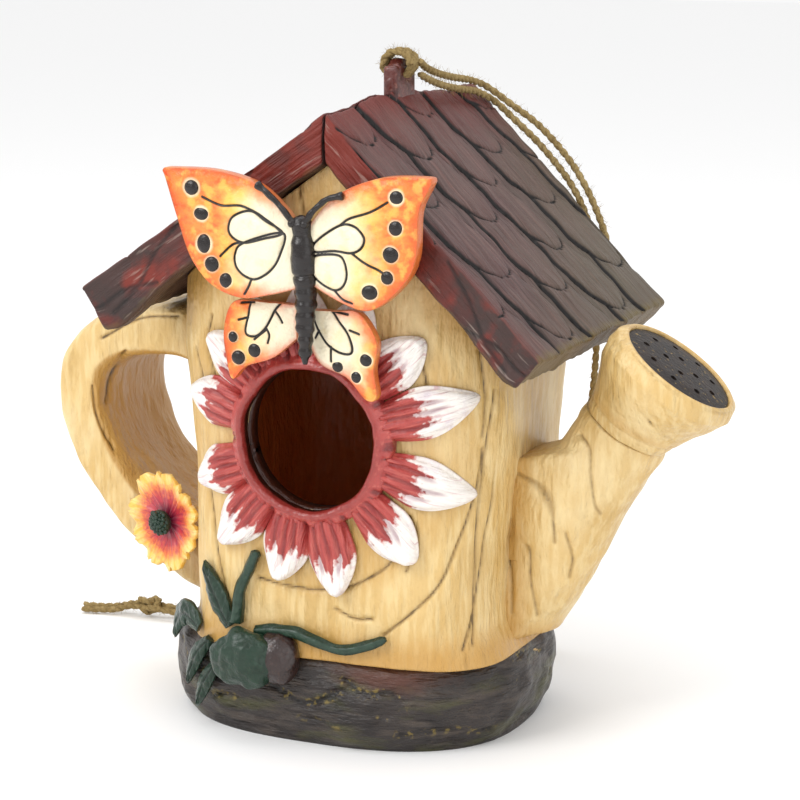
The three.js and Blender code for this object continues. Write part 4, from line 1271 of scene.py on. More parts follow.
def build_rose():
    neck = np.array([SPOUT_LINE[-1][0], 0, SPOUT_LINE[-1][1]], float)
    run = neck - [SPOUT_LINE[-2][0], 0, SPOUT_LINE[-2][1]]
    run /= np.linalg.norm(run)
    angle = np.linspace(0, 2 * np.pi, 150, endpoint=False)
    stations = [(t, None, 0.0) for t in np.linspace(0, 1, 70)]
    stations += [(1, 20.1, 0.25), (1, 19.5, 0.1), (1, 19.3, -0.6), (1, 19.3, -2.3), (1, 12, -2.5)]
    stations += [(1, 3, -2.5)]
    rings, groove = [], []
    for t, radius, ahead in stations:
        facing = run * (1 - t) + ROSE_FACING * t
        facing /= np.linalg.norm(facing)
        across = np.cross([0, 1.0, 0], facing)
        across /= np.linalg.norm(across)
        side = np.cross(facing, across)
        centre = (neck + run * 0.3) * (1 - t) + ROSE_CENTRE * t + facing * ahead
        size = np.interp(t, *zip(*ROSE_PROFILE)) if radius is None else radius
        ring = centre + np.outer(np.cos(angle), across * size) + np.outer(np.sin(angle), side * size)
        rings.append(ring)
        groove.append(np.full(150, 0.45 * np.exp(-((t - 0.14) / 0.018) ** 2)))
    rings, groove = np.array(rings), np.array(groove)
    lines = [catmull([(96, -20, 118), (99, -18, 108), (101, -13, 100)]),
             catmull([(112, -19, 112), (112, -16, 104)]),
             catmull([(84, -18, 118), (90, -20, 110), (91, -18, 103)])]
    groove = np.maximum(groove, carved(rings, lines, 0.7))
    middle = rings.mean(1, keepdims=True)
    out = rings - middle
    out /= np.maximum(np.linalg.norm(out, axis=2, keepdims=True), 1e-6)
    outside = (np.arange(len(stations)) < 68)[:, None]
    lumps = (0.45 * ripple(rings, 26, 51) + 0.15 * ripple(rings, 8, 52) - 0.5) * outside
    rings = rings + out * (lumps - 0.8 * groove * outside)[..., None]
    points, faces = drum(rings)
    # Painted shade: ochre behind the collar and on the lip and face round the plate.
    shade = np.array([0.5 * np.exp(-((t - 0.2) / 0.06) ** 2) + (0.4 if radius else 0)
                      for t, radius, _ in stations])[:, None] * np.ones(150)
    values = {"groove": with_poles(groove), "shade": with_poles(shade)}
    return mesh_object("rose_bell", points, faces, values)


def perforated_tree(material):
    """Geometry Nodes: a round plate with a small hole punched at every given point."""
    tree, given = new_tree("perforated plate", {
        "Plate Radius": 0.019, "Hole Radius": 0.0011, "Thickness": 0.0022})
    rim = add(tree, "GeometryNodeCurvePrimitiveCircle", {
        "Radius": given.outputs["Plate Radius"], "Resolution": 96})
    hole = add(tree, "GeometryNodeCurvePrimitiveCircle", {
        "Radius": given.outputs["Hole Radius"], "Resolution": 20})
    holes = add(tree, "GeometryNodeInstanceOnPoints", {"Points": given,
                                                       "Instance": hole})
    outlines = join(tree, [holes.outputs[0], rim.outputs[0]])
    real = add(tree, "GeometryNodeRealizeInstances", {0: outlines})
    flat = add(tree, "GeometryNodeFillCurve", {"Curve": real})
    raised = add(tree, "GeometryNodeExtrudeMesh", {
        "Mesh": flat, "Offset Scale": given.outputs["Thickness"]})
    raised.inputs["Individual"].default_value = False
    turned = add(tree, "GeometryNodeFlipFaces", {0: flat})
    closed = join(tree, [turned.outputs[0], raised.outputs[0]])
    joined = add(tree, "GeometryNodeMergeByDistance", {0: closed, "Distance": 1e-6})
    solid = add(tree, "GeometryNodeRealizeInstances", {0: joined})
    return end_tree(tree, solid, material)


def plate_paint():
    """Dark bronze paint with gold flecks, semi-gloss."""
    def layers(tree):
        return [(mottle(tree, 6.0, 0.4, 0.7), 0x33241C, 0.6),
                (mottle(tree, 1.3, 0.64, 0.68, shift=2.0), 0xA98A4A, 0.6),
                (mottle(tree, 2.6, 0.5, 0.64, shift=5.0), 0x17100F, 0.7)]
    return cast_resin("dark bronze paint", rgba(0x1E1512), layers, roughness=0.5,
                      relief=[(1.5, 0.15)], specular=0.35)


def build_plate(material):
    holes = [(0.3, 90 * i + 20) for i in range(4)] + [(0.68, 40 * i) for i in range(9)]
    spots = [(PLATE_RADIUS * r * math.cos(math.radians(a)),
              PLATE_RADIUS * r * math.sin(math.radians(a)), 0) for r, a in holes]
    source = mesh_object("perforation_points", spots, [])
    plate = grown(source, perforated_tree(material), "rose_perforated_plate")
    across, side = rose_axes()

    def on_the_rose(flat):
        fall = 1.2 * (np.hypot(flat[:, 0], flat[:, 1]) / PLATE_RADIUS) ** 4
        ahead = np.where(flat[:, 2] > 1, 0.5 - fall, -2.2)
        return (ROSE_CENTRE + flat[:, :1] * across + flat[:, 1:2] * side
                + ahead[:, None] * ROSE_FACING)
    move_points(plate, on_the_rose)
    return plate


class BIRDHOUSE_OT_spout(bpy.types.Operator):
    """Make the carrying handle, the spout, its rose and the perforated plate"""
    bl_idname = "birdhouse.spout"
    bl_label = "Handle and spout"

    def execute(self, context):
        cream = cream_paint("cream resin paint on handle and spout")
        place_piece(build_handle(), cream, "cream_resin", "carrying_handle")
        place_piece(build_spout(), cream, "cream_resin", "spout_tube")
        place_piece(build_rose(), cream, "cream_resin", "spout_rose")
        bronze = plate_paint()
        place_piece(build_plate(bronze), bronze, "dark_rose", "rose_plate")
        return {"FINISHED"}


# ------------------------------------------------------------------ flower round the entrance
PETALS = [(16, 53), (43, 49.5), (69, 49), (93, 49), (117, 48), (140, 47.5), (166, 47),
          (-158, 46.5), (-132, 50), (-105.5, 48.5), (-80, 50.7), (-47, 50), (-18, 52)]
PETAL_START, PETAL_THICK = 28.4, 5.0


def build_rim():
    """The flower's raised centre ring, chiselled from the hole outward."""
    columns = 260
    angle = np.linspace(0, 2 * np.pi, columns, endpoint=False)
    width, proud = RIM_OUTER - ENTRY_RADIUS, 6.5
    turn = np.linspace(0, 2 * np.pi, 33)[:-1]
    section_r = ENTRY_RADIUS + width / 2 - width / 2 * np.sign(np.cos(turn)) * np.abs(
        np.cos(turn)) ** 0.55
    section_h = proud / 2 + proud / 2 * np.sign(np.sin(turn)) * np.abs(np.sin(turn)) ** 0.55
    rng = np.random.default_rng(9)
    chisel = np.zeros(columns)
    for _ in range(46):
        at, wide = rng.uniform(0, 2 * np.pi), rng.uniform(0.012, 0.03)
        gap = np.abs((angle - at + np.pi) % (2 * np.pi) - np.pi)
        chisel = np.maximum(chisel, rng.uniform(0.4, 1.0) * np.exp(-(gap / wide) ** 2))
    outer = smooth(section_r, ENTRY_RADIUS + 0.8, RIM_OUTER - 0.3)[:, None]
    slope = (1.9 * outer - 0.5 * np.exp(-((outer - 0.12) / 0.1) ** 2)) * (section_h > 1)[:, None]
    high = section_h[:, None] * np.ones(columns) - slope
    turns = np.sort(np.radians([degrees % 360 for degrees, _ in PETALS]))
    notches = (turns + np.roll(turns, -1) + 2 * np.pi * (np.arange(len(turns)) == len(turns) - 1)) / 2
    gaps = np.abs((angle[:, None] - notches + np.pi) % (2 * np.pi) - np.pi).min(1)
    notch = 1.3 * np.exp(-(gaps / 0.035) ** 2)
    groove = np.maximum(chisel[None], notch[None]) * smooth(outer, 0.3, 0.8)
    groove = groove * (section_h > 3)[:, None]
    high = high - 1.0 * groove + 0.25 * np.sin(angle * 9 + 1)[None] * (section_h > 3)[:, None]
    out = section_r[:, None] + 0.25 * np.sin(angle * 7)[None]
    x, z = ENTRY[0] + out * np.cos(angle), ENTRY[1] + out * np.sin(angle)
    rings = np.stack([x, wall_y(x, z) - 0.2 - np.maximum(high, 0), z], 2)
    rings = rings + 0.18 * ripple(rings, 6, 61)[..., None] * [0, 1, 0]
    count = len(turn)
    faces = ring_faces(count, columns).tolist()
    last = (count - 1) * columns
    around = range(columns)
    faces += [[last + c, last + (c + 1) % columns, (c + 1) % columns, c] for c in around]
    # Painted shade: the ring's inner wall, deep in the hole, is painted dark brown.
    deep = smooth(section_h, proud - 1.0, proud - 4.0) * (section_r < ENTRY_RADIUS + width / 2)
    values = {"groove": groove, "inner": np.broadcast_to(1 - outer, groove.shape),
              "deep": np.broadcast_to(deep[:, None], groove.shape)}
    return mesh_object("entry_rim_ring", rings.reshape(-1, 3), faces, values)


def petal_width(u, tip):
    root = PETAL_START * math.tan(0.2) * 1.05
    widest = 1 + 0.4 * np.sin(np.pi * np.minimum(u * 1.05, 1))
    taper = np.sqrt(np.maximum(1 - (np.maximum(u - 0.35, 0) / 0.65) ** 2.1, 0.004))
    return np.minimum(root * widest * taper, (PETAL_START + u * (tip - PETAL_START)) * 0.225)


def build_petal(number, degrees, tip):
    """One petal: a thick blade with a raised edge, grooves along it and a pointed tip."""
    rng = np.random.default_rng(100 + number)
    grid, faces = block(46, 34, 6)
    u, v, w = grid.T
    angle = math.radians(degrees)
    start = PETAL_START - 2.2
    reach = start + u * (tip + 0.6 - start)
    side = (v - 0.5) * 2
    bend = rng.uniform(-0.8, 0.8) * u ** 2
    across = side * petal_width(u, tip) + bend
    cut = np.zeros(len(u))
    for at in (rng.uniform(-0.55, -0.35), rng.uniform(-0.1, 0.1), rng.uniform(0.35, 0.55)):
        stop = rng.uniform(0.62, 0.9)
        line = at * (0.75 + 0.25 * np.cos(u * 2)) + 0.05 * np.sin(u * 7 + number)
        length = 1 - smooth(u, stop - 0.25, stop)
        cut = np.maximum(cut, length * np.exp(-((side - line) / 0.12) ** 2))
    edge = np.abs(side) ** 6 + smooth(u, 0.93, 1.0) ** 2
    crown = PETAL_THICK * (1 - 0.25 * side ** 2) * (1 - 0.3 * u + 0.12 * smooth(u, 0.7, 1))
    crown = crown * (1 - 0.45 * np.clip(edge, 0, 1)) - 1.15 * cut
    round_off = 1 - 0.12 * smooth(w, 0.4, 1.0) * np.clip(np.abs(side) ** 4, 0, 1)
    x = ENTRY[0] + reach * math.cos(angle) - across * round_off * math.sin(angle)
    z = ENTRY[1] + reach * math.sin(angle) + across * round_off * math.cos(angle)
    points = np.stack([x, wall_y(x, z) - 0.3 - w * crown, z], 1)
    points[:, 1] += 0.25 * ripple(points, 9, 62) * w
    strip = 0.09 * np.sin(side * 8 + number) + 0.05 * np.sin(side * 21 + 2 * number)
    white = u + strip + 0.16 * np.abs(side) - rng.uniform(-0.07, 0.12)
    values = {"groove": cut * (w > 0.5), "white": white, "flank": 1 - w}
    uv = np.stack([reach * MM, across * MM + 0.05 * number], 1)
    return mesh_object(f"entry_petal_{number:02d}", points, faces, values, uv)


def petal_paint():
    """Brick red satin paint at the petals' roots, dry-brushed over with chalky white tips."""
    def layers(tree):
        streak = mottle(tree, 1.3, 0.42, 0.62, stretch=(9, 1, 1), space="UV")
        fine = mottle(tree, 0.8, 0.5, 0.66, stretch=(12, 1, 1), shift=3.0, space="UV")
        tips = mark(tree, "white", 0.5, 0.6, ragged=0.34, size=2.0)
        return [(streak, 0x8E2C2E, 0.6), (fine, 0xCB6A5C, 0.5),
                (mark(tree, "groove", 0.35, 1.0), 0x6E1F22, 0.65),
                (tips, tone("petal_white"), 1.0),
                (both(tree, tips, mottle(tree, 6.0, 0.5, 0.7)), 0xC9B9C6, 0.6),
                (both(tree, tips, streak), 0xF6F1EA, 0.6),
                (both(tree, tips, mottle(tree, 1.0, 0.58, 0.68, stretch=(10, 1, 1), shift=6.0,
                                         space="UV")), 0xC08A92, 0.5),
                (both(tree, tips, mark(tree, "groove", 0.3, 0.9)), 0x9C7380, 0.6),
                (mark(tree, "flank", 0.55, 1.0, ragged=0.2), 0x8A6A4A, 0.6)]

    def relief(tree):
        return [(mottle(tree, 1.2, 0.3, 0.7, stretch=(8, 1, 1), space="UV"), 0.4),
                (mottle(tree, 2.4, 0.3, 0.7), 0.2)]
    return cast_resin("red and white petal paint", tone("petal_red"), layers, roughness=0.4,
                      relief=relief, coat=0.15)


def rim_paint():
    """Glossy brick red paint, thin on the chisel marks, dark toward the hole with painted shade
    inside.
    """
    def layers(tree):
        return [(mottle(tree, 4.0, 0.4, 0.7), 0x962F2D, 0.7),
                (mottle(tree, 1.5, 0.55, 0.7, shift=2.0), 0xCC6C5C, 0.5),
                (mark(tree, "groove", 0.25, 0.9), 0x6A1C1D, 0.8),
                (mark(tree, "inner", 0.5, 1.0, ragged=0.3), 0x7E2620, 0.7),
                # Painted shade: dark brown on the hole's inner wall.
                (mark(tree, "deep", 0.35, 0.8, ragged=0.15), 0x2A0F08, 1.0)]
    return cast_resin("glossy red rim paint", tone("petal_red"), layers, roughness=0.3,
                      relief=[(2.2, 0.3)], coat=0.25)


class BIRDHOUSE_OT_entry_flower(bpy.types.Operator):
    """Make the ring round the entrance hole and its thirteen petals"""
    bl_idname = "birdhouse.entry_flower"
    bl_label = "Entrance flower"

    def execute(self, context):
        place_piece(build_rim(), rim_paint(), "petal_red", "entry_rim")
        paint = petal_paint()
        for number, (degrees, tip) in enumerate(PETALS, 1):
            petal = build_petal(number, degrees, tip)
            place_piece(petal, paint, "petal_red", f"petal_{number:02d}")
        return {"FINISHED"}


# ------------------------------------------------------------------ the butterfly
UPPER_BACK, UPPER_THICK, LOWER_BACK, LOWER_THICK = -61.0, 5.0, -56.9, 3.8
WINGS = {
    "upper_left": {
        "outline": [(2.1, 167.6), (-2.9, 175.6), (-12.9, 183.6), (-26.9, 187.1), (-42, 187.3),
                    (-45.3, 186.7), (-44.4, 184), (-40.4, 171.6), (-35.9, 159.6),
                    (-28.9, 151.6), (-18.9, 148.1), (-8.9, 149.6), (2.1, 152.6)],
        "middle": (-19, 168), "turning": 4,
        "cells": [[(-4, 169.2), (-9.9, 172.6), (-15.1, 175.3), (-21, 173.2), (-22.7, 169.5),
                   (-21.1, 166.7), (-17.2, 165.4), (-10.6, 167)],
                  [(-17.2, 165.4), (-20.2, 162), (-19.9, 157.8), (-16.6, 154.8), (-12.7, 154.5),
                   (-7.4, 158.1), (-4.8, 162.9), (-4, 169.2)]],
        "veins": [[(-4, 169.2), (-9.9, 173.2), (-17.7, 176.6), (-24.9, 176.5), (-31.5, 178.8)],
                  [(-17.2, 165.4), (-21.1, 164.6), (-25.5, 160.7)],
                  [(-15, 154), (-16, 151.6), (-17.4, 149.4)]],
        "spots": [(-35.1, 181.5, 2.6), (-31.7, 173.6, 2.3), (-30.9, 164.3, 2.7),
                  (-28.4, 158.1, 2.3), (-23.5, 153.3, 2.1)],
    },
    "upper_right": {
        "outline": [(2.1, 167.6), (8.1, 176.1), (16.1, 182.9), (29.1, 187.6), (43, 188.4),
                    (45.3, 187.4), (44.4, 185), (41.1, 177.6), (40.1, 163.6), (35.1, 154.6),
                    (25.1, 147.2), (15.1, 149.1), (2.1, 155.6)],
        "middle": (22, 168), "turning": 4,
        "cells": [[(6.9, 166.9), (15.3, 172.6), (20.3, 172.3), (23.2, 169.3), (22.2, 166.1),
                   (19, 164.4), (13.3, 164.7), (6.9, 164)],
                  [(4.9, 162), (4.9, 158.9), (8.1, 155), (13.2, 152.7), (16.4, 154.4),
                   (17.4, 158.5), (15.5, 163.1), (10, 163.4)]],
        "veins": [[(15.3, 172.6), (18.4, 174.8), (25.4, 177.2), (31, 180.4)],
                  [(19, 164.4), (22.8, 161.8), (29.1, 159)],
                  [(13.2, 152.7), (15.8, 150.2), (19, 149)]],
        "spots": [(34, 182, 2.3), (33.7, 172.8, 2.2), (32.1, 164.8, 2.4), (30.9, 157.7, 2.0),
                  (25.2, 152.9, 2.5)],
    },
    "lower_left": {
        "outline": [(-2.1, 146.2), (-15.1, 146.5), (-24.1, 145.7), (-27.5, 136.7),
                    (-26.5, 126.7), (-24.6, 121.2), (-20.1, 125.5), (-10.6, 129), (-2.1, 135.7)],
        "middle": (-15, 137), "turning": 5,
        "cells": [[(-16.8, 147.5), (-18.9, 141.5), (-20, 137.2), (-19, 135.5), (-15.7, 135.7),
                   (-12.3, 139), (-9.6, 144), (-7.2, 148.4)]],
        "veins": [[(-21.2, 145.6), (-16.8, 146.2)], [(-22.3, 140.2), (-18.9, 141.2)],
                  [(-9.6, 144), (-8.3, 142.3), (-7.3, 140.3)],
                  [(-12.6, 138.4), (-11.7, 136.1), (-12.2, 133.6)],
                  [(-12.6, 137.8), (-16.7, 134.5)]],
        "spots": [(-24.2, 134.7, 1.6), (-16.7, 131, 2.0), (-22.4, 128.3, 2.2)],
    },
    "lower_right": {
        "outline": [(1.9, 145.2), (10.9, 145.2), (18.9, 145.2), (24.9, 136.7), (23.9, 127.7),
                    (24.9, 119.7), (21.4, 118.3), (14.9, 124.7), (5.9, 128.5), (0.9, 136.7)],
        "middle": (13, 135), "turning": 5,
        "cells": [[(6.8, 147.3), (11.9, 142.6), (15.8, 137), (16.4, 132.8), (13.2, 132.3),
                   (8.7, 134.6), (5.1, 139.1), (3.5, 145)]],
        "veins": [[(10.7, 145), (15.2, 144.5)], [(15.8, 139.6), (19, 138.7)],
                  [(5.4, 138.8), (4.1, 136.4)], [(9.6, 134.1), (9.6, 129.6)]],
        "spots": [(21.4, 130.9, 2.1), (11.9, 128.2, 1.7), (18.3, 125.4, 1.9)],
    },
}
BODY_LINE = [(3, 129), (3.4, 150), (2.8, 166), (2, 175)]


def inside_loop(points, loop):
    """Which (x, z) points lie inside a closed line."""
    x, z = points[..., 0], points[..., 1]
    odd = np.zeros(x.shape, bool)
    for a, b in zip(loop, np.roll(loop, -1, axis=0)):
        crosses = (a[1] > z) != (b[1] > z)
        run = (b[0] - a[0]) * (z - a[1]) / (b[1] - a[1] + 1e-9) + a[0]
        odd ^= crosses & (x < run)
    return odd


def closed_loop(points, steps=8):
    line = catmull([points[-1], *points, points[0], points[1]], steps)
    return line[steps:-steps]


def build_wing(name, wing):
    """A thick wing with engraved veins: rings from the back's middle out and round to the front."""
    upper = name.startswith("upper")
    back, thick = (UPPER_BACK, UPPER_THICK) if upper else (LOWER_BACK, LOWER_THICK)
    flat = catmull(wing["outline"], 12)
    outline = resample(np.vstack([flat, flat[:1]]), 361)[:-1]
    middle = np.array(wing["middle"], float)
    shares = np.concatenate([np.linspace(0.05, 0.97, 16), [1.0, 1.0, 1.0, 0.992, 0.975],
                             np.linspace(0.955, 0.015, 74)])
    lifts = np.concatenate([np.zeros(16), [0.12, 0.5, 0.82, 0.95, 1.0], np.ones(74)])
    spread = middle + (outline - middle) * shares[:, None, None]
    front = (np.arange(len(shares)) > 19)[:, None]
    loops = [closed_loop(cell) for cell in wing["cells"]]
    veins = loops + [catmull(vein) for vein in wing["veins"]]
    vein = carved(spread, veins, 0.42) * front
    border = distance_to(spread, np.vstack([outline, outline[:1]]))
    root = distance_to(spread, np.array([(2.5, 172.0), (2.5, 130.0)]))
    cell = np.zeros(spread.shape[:2])
    puff = np.zeros(spread.shape[:2])
    for loop in loops:
        within = inside_loop(spread, loop)
        depth = np.where(within, distance_to(spread, loop), 0)
        cell = np.maximum(cell, within * 1.0)
        puff = np.maximum(puff, smooth(depth, 0, 2.6))
    halo = np.zeros(spread.shape[:2])
    for x, z, radius in wing["spots"]:
        halo = np.maximum(halo, np.exp(-(np.hypot(spread[..., 0] - x, spread[..., 1] - z)
                                         / (radius * 1.15)) ** 6))
    lift = lifts[:, None] * thick
    sculpt = 0.55 * puff - 0.75 * vein - 0.5 * smooth(border, 3.2, 0.0)
    deep = np.stack([spread[..., 0], np.zeros(spread.shape[:2]), spread[..., 1]], 2)
    sculpt = sculpt + 0.25 * ripple(deep, 14, 71) + 0.12 * ripple(deep, 5, 72)
    y = back - lift - sculpt * front
    rings = np.stack([spread[..., 0], y, spread[..., 1]], 2)
    points, faces = drum(rings)
    reach = np.where(front, border, -1.0)
    values = {"vein": with_poles(vein), "border": with_poles(reach), "root": with_poles(root),
              "cell": with_poles(cell * front), "halo": with_poles(halo * front),
              "front": with_poles(front * np.ones(spread.shape[:2]))}
    return mesh_object(f"butterfly_{name}", points, faces, values)


def wing_paint():
    """Wing paint: cream cells and roots, yellow then orange to the border, black lines, gloss."""
    def layers(tree):
        near = mark(tree, "root", 13.0, 25.0, ragged=16.0, size=7.0)
        far = mark(tree, "root", 20.0, 31.0, ragged=16.0, size=6.0)
        rim = both(tree, mark(tree, "border", 5.0, 1.5, ragged=5.0, size=3.5),
                   mark(tree, "root", 6.0, 18.0, ragged=6.0, size=5.0))
        edge = mark(tree, "border", 1.5, 0.2, ragged=1.6, size=1.6)
        streak = mottle(tree, 3.0, 0.45, 0.66, stretch=(1.6, 1, 1))
        return [(near, tone("wing_yellow"), 0.9), (far, tone("wing_orange"), 0.75),
                (rim, tone("wing_orange"), 0.85), (edge, 0xCE4A1C, 0.6),
                (both(tree, far, streak), 0xD24A16, 0.7),
                (both(tree, near, mottle(tree, 4.5, 0.52, 0.64, shift=4.0)), 0xF4C654, 0.55),
                (mark(tree, "halo", 0.1, 0.7, ragged=0.25, size=1.2), 0xF1E2BC, 0.85),
                (mark(tree, "cell", 0.35, 0.65), tone("wing_cream"), 1.0),
                (both(tree, mark(tree, "cell", 0.35, 0.65), mottle(tree, 5.0, 0.52, 0.68)),
                 0xE9D29A, 0.55),
                (mark(tree, "front", 0.7, 0.2), 0xC9702F, 0.6),
                (mark(tree, "vein", 0.28, 0.62), 0x171110, 1.0)]

    def relief(tree):
        return [(mottle(tree, 2.6, 0.3, 0.7), 0.3), (mottle(tree, 1.0, 0.3, 0.7, shift=2.0), 0.12)]
    return cast_resin("glossy butterfly wing paint", tone("wing_cream"), layers, roughness=0.34,
                      relief=relief, coat=0.3)


def black_gloss():
    """Black-brown gloss enamel, brown where it is thin."""
    def layers(tree):
        return [(mottle(tree, 4.0, 0.45, 0.7), 0x1A100D, 0.7),
                (mottle(tree, 1.4, 0.6, 0.72, shift=2.0), 0x33241E, 0.25)]
    return cast_resin("black gloss enamel", tone("black"), layers, roughness=0.24, specular=0.35,
                      relief=[(2.0, 0.2)], coat=0.3)


def bead_tree(material):
    """Geometry Nodes: a flattened bead, sized by the points' own value, at every given point."""
    tree, given = new_tree("beads on points", {"Flatness": 0.5})
    size = add(tree, "GeometryNodeInputNamedAttribute", {"Name": "bead"}, data_type="FLOAT")
    wobble = add(tree, "FunctionNodeRandomValue", {"Seed": 5}, data_type="FLOAT_VECTOR")
    wobble.inputs[0].default_value = (0.88, 0.9, 0.88)
    wobble.inputs[1].default_value = (1.14, 1.1, 1.14)
    shape = add(tree, "ShaderNodeCombineXYZ", {0: 1.0, 1: given.outputs["Flatness"], 2: 1.0})
    form = add(tree, "ShaderNodeVectorMath", {0: shape, 1: wobble},
               operation="MULTIPLY")
    scale = add(tree, "ShaderNodeVectorMath", {0: form}, operation="SCALE")
    tree.links.new(size.outputs[0], scale.inputs["Scale"])
    ball = add(tree, "GeometryNodeMeshIcoSphere", {"Radius": 1.0, "Subdivisions": 4})
    beads = add(tree, "GeometryNodeInstanceOnPoints", {
        "Points": given, "Instance": ball, "Scale": scale})
    real = add(tree, "GeometryNodeRealizeInstances", {0: beads})
    smoothed = add(tree, "GeometryNodeSetShadeSmooth", {0: real})
    return end_tree(tree, smoothed, material)


def beads(name, places, radii, tree, flatness):
    source = mesh_object(name + "_points", places, [], {"bead": np.array(radii) * MM})
    return grown(source, tree, name, {"Flatness": flatness})


def build_body():
    """The segmented body with its head and eyes."""
    rows, columns = 150, 64
    t = np.linspace(0, 1, rows)
    radius = np.interp(t, [0, 0.06, 0.3, 0.45, 0.72, 0.82, 0.87, 0.94, 0.985, 1],
                       [0.5, 2.1, 3.2, 3.5, 4.2, 3.9, 3.0, 3.5, 2.4, 0.6])
    rings = 0.5 + 0.5 * np.cos(np.clip(t / 0.56, 0, 1) * 2 * np.pi * 7)
    pinch = 0.42 * (1 - rings) * (t < 0.56) + 0.6 * np.exp(-((t - 0.6) / 0.012) ** 2)
    radius = radius - pinch
    line = in_plane(BODY_LINE, -65.2)
    skin, out = sweep(line, rows, columns, radius * 1.02, radius)
    skin = skin + out * (0.12 * ripple(skin, 5, 81))[..., None]
    points, faces = drum(skin)
    parts = [(points, faces, {})]
    for side in (-1, 1):
        turn = np.linspace(0.02, np.pi - 0.02, 18)
        around = np.linspace(0, 2 * np.pi, 28, endpoint=False)
        ball = np.stack([np.outer(np.sin(turn), np.cos(around)),
                         np.outer(np.sin(turn), np.sin(around)),
                         np.outer(np.cos(turn), np.ones(28))], 2) * 1.35
        eye_points, eye_faces = drum(ball + [2.2 + side * 2.1, -67.6, 172.6])
        parts.append((eye_points, eye_faces, {}))
    points, faces, _ = merged(parts)
    return mesh_object("butterfly_body_segments", points, faces)


def build_antenna(name, line):
    t = np.linspace(0, 1, 70)
    radius = 1.12 - 0.25 * np.sin(np.pi * t) + 0.25 * smooth(t, 0.8, 0.95)
    radius = radius * np.sqrt(np.clip(1 - smooth(t, 0.95, 1.0) ** 2 * 0.9, 0.05, 1))
    skin, out = sweep(in_plane(line, -67.5), 70, 20, radius, radius)
    skin = skin + out * (0.12 * ripple(skin, 4, 82))[..., None]
    skin[..., 1] += 1.0 * (np.linspace(0, 1, 70) ** 2)[:, None]
    points, faces = drum(skin)
    return mesh_object(f"butterfly_antenna_{name}", points, faces)


class BIRDHOUSE_OT_butterfly(bpy.types.Operator):
    """Make the butterfly: four wings, their spots, the body and the antennae"""
    bl_idname = "birdhouse.butterfly"
    bl_label = "Butterfly"

    def execute(self, context):
        paint, black = wing_paint(), black_gloss()
        places, radii = [], []
        for name, wing in WINGS.items():
            place_piece(build_wing(name, wing), paint, "wing_orange", f"wing_{name}")
            upper = name.startswith("upper")
            front = UPPER_BACK - UPPER_THICK if upper else LOWER_BACK - LOWER_THICK
            places += [(x, front + 0.1, z) for x, z, _ in wing["spots"]]
            radii += [radius for *_, radius in wing["spots"]]
        spots = beads("wing_spots", places, radii, bead_tree(black), 0.42)
        place_piece(spots, black, "butterfly_black")
        place_piece(build_body(), black, "butterfly_black", "butterfly_body")
        feelers = {"left": [(0.4, 172.8), (-3, 176.5), (-7, 180.3), (-12.5, 184.0)],
                   "right": [(4.0, 172.8), (7.5, 177), (12, 180.6), (17, 181.8)]}
        for name, line in feelers.items():
            place_piece(build_antenna(name, line), black, "butterfly_black", f"antenna_{name}")
        return {"FINISHED"}


# ------------------------------------------------------------------ small flower and plants
BLOOM = np.array([-65.5, -28.2, 63.8])
BLOOM_RADIUS, BLOOM_TURN = 16.5, -19.5


def ground_y(x, z):
    """Front surface under a plant: the can, or the rock where that stands further out."""
    across = np.minimum(np.abs((x - BASE_X) / BASE_HALF_WIDTH), 0.99)
    depth = BASE_HALF_DEPTH * (1 - across ** BASE_SQUARENESS) ** (1 / BASE_SQUARENESS)
    rock = np.where(z < rock_top(x) + 14, -depth * rock_share(z), 0)
    on_can = (np.abs(x - CAN_X) < 0.96 * can_half_width(z)) & (z > 31)
    return np.minimum(rock, np.where(on_can, wall_y(x, z), 0))


def fan_tree(material):
    """Geometry Nodes: copies of one petal turned round the flower's axis."""
    tree, given = new_tree("petals in a ring", {"Petals": 9})
    step = add(tree, "ShaderNodeMath", {0: 2 * math.pi, 1: given.outputs["Petals"]},
               operation="DIVIDE")
    points = add(tree, "GeometryNodeMeshLine", {"Count": given.outputs["Petals"]})
    points.inputs["Offset"].default_value = (0, 0, 0)
    index = add(tree, "GeometryNodeInputIndex")
    sway = add(tree, "FunctionNodeRandomValue", {"Seed": 11})
    sway.inputs[2].default_value = -0.07
    sway.inputs[3].default_value = 0.07
    turn = add(tree, "ShaderNodeMath", {0: index, 1: step,
                                        2: sway.outputs[1]}, operation="MULTIPLY_ADD")
    euler = add(tree, "ShaderNodeCombineXYZ", {1: turn})
    size = add(tree, "FunctionNodeRandomValue", {"Seed": 4})
    size.inputs[2].default_value = 0.94
    size.inputs[3].default_value = 1.05
    fan = add(tree, "GeometryNodeInstanceOnPoints", {
        "Points": points, "Instance": given,
        "Rotation": euler, "Scale": size.outputs[1]})
    real = add(tree, "GeometryNodeRealizeInstances", {0: fan})
    return end_tree(tree, real, material)


def turned_to_bloom(flat):
    """Points built about the flower's own axis (-Y ahead), moved to where the flower is."""
    turn = math.radians(BLOOM_TURN)
    x = flat[:, 0] * math.cos(turn) - flat[:, 1] * math.sin(turn)
    y = flat[:, 0] * math.sin(turn) + flat[:, 1] * math.cos(turn)
    return np.stack([x, y, flat[:, 2]], 1) + BLOOM


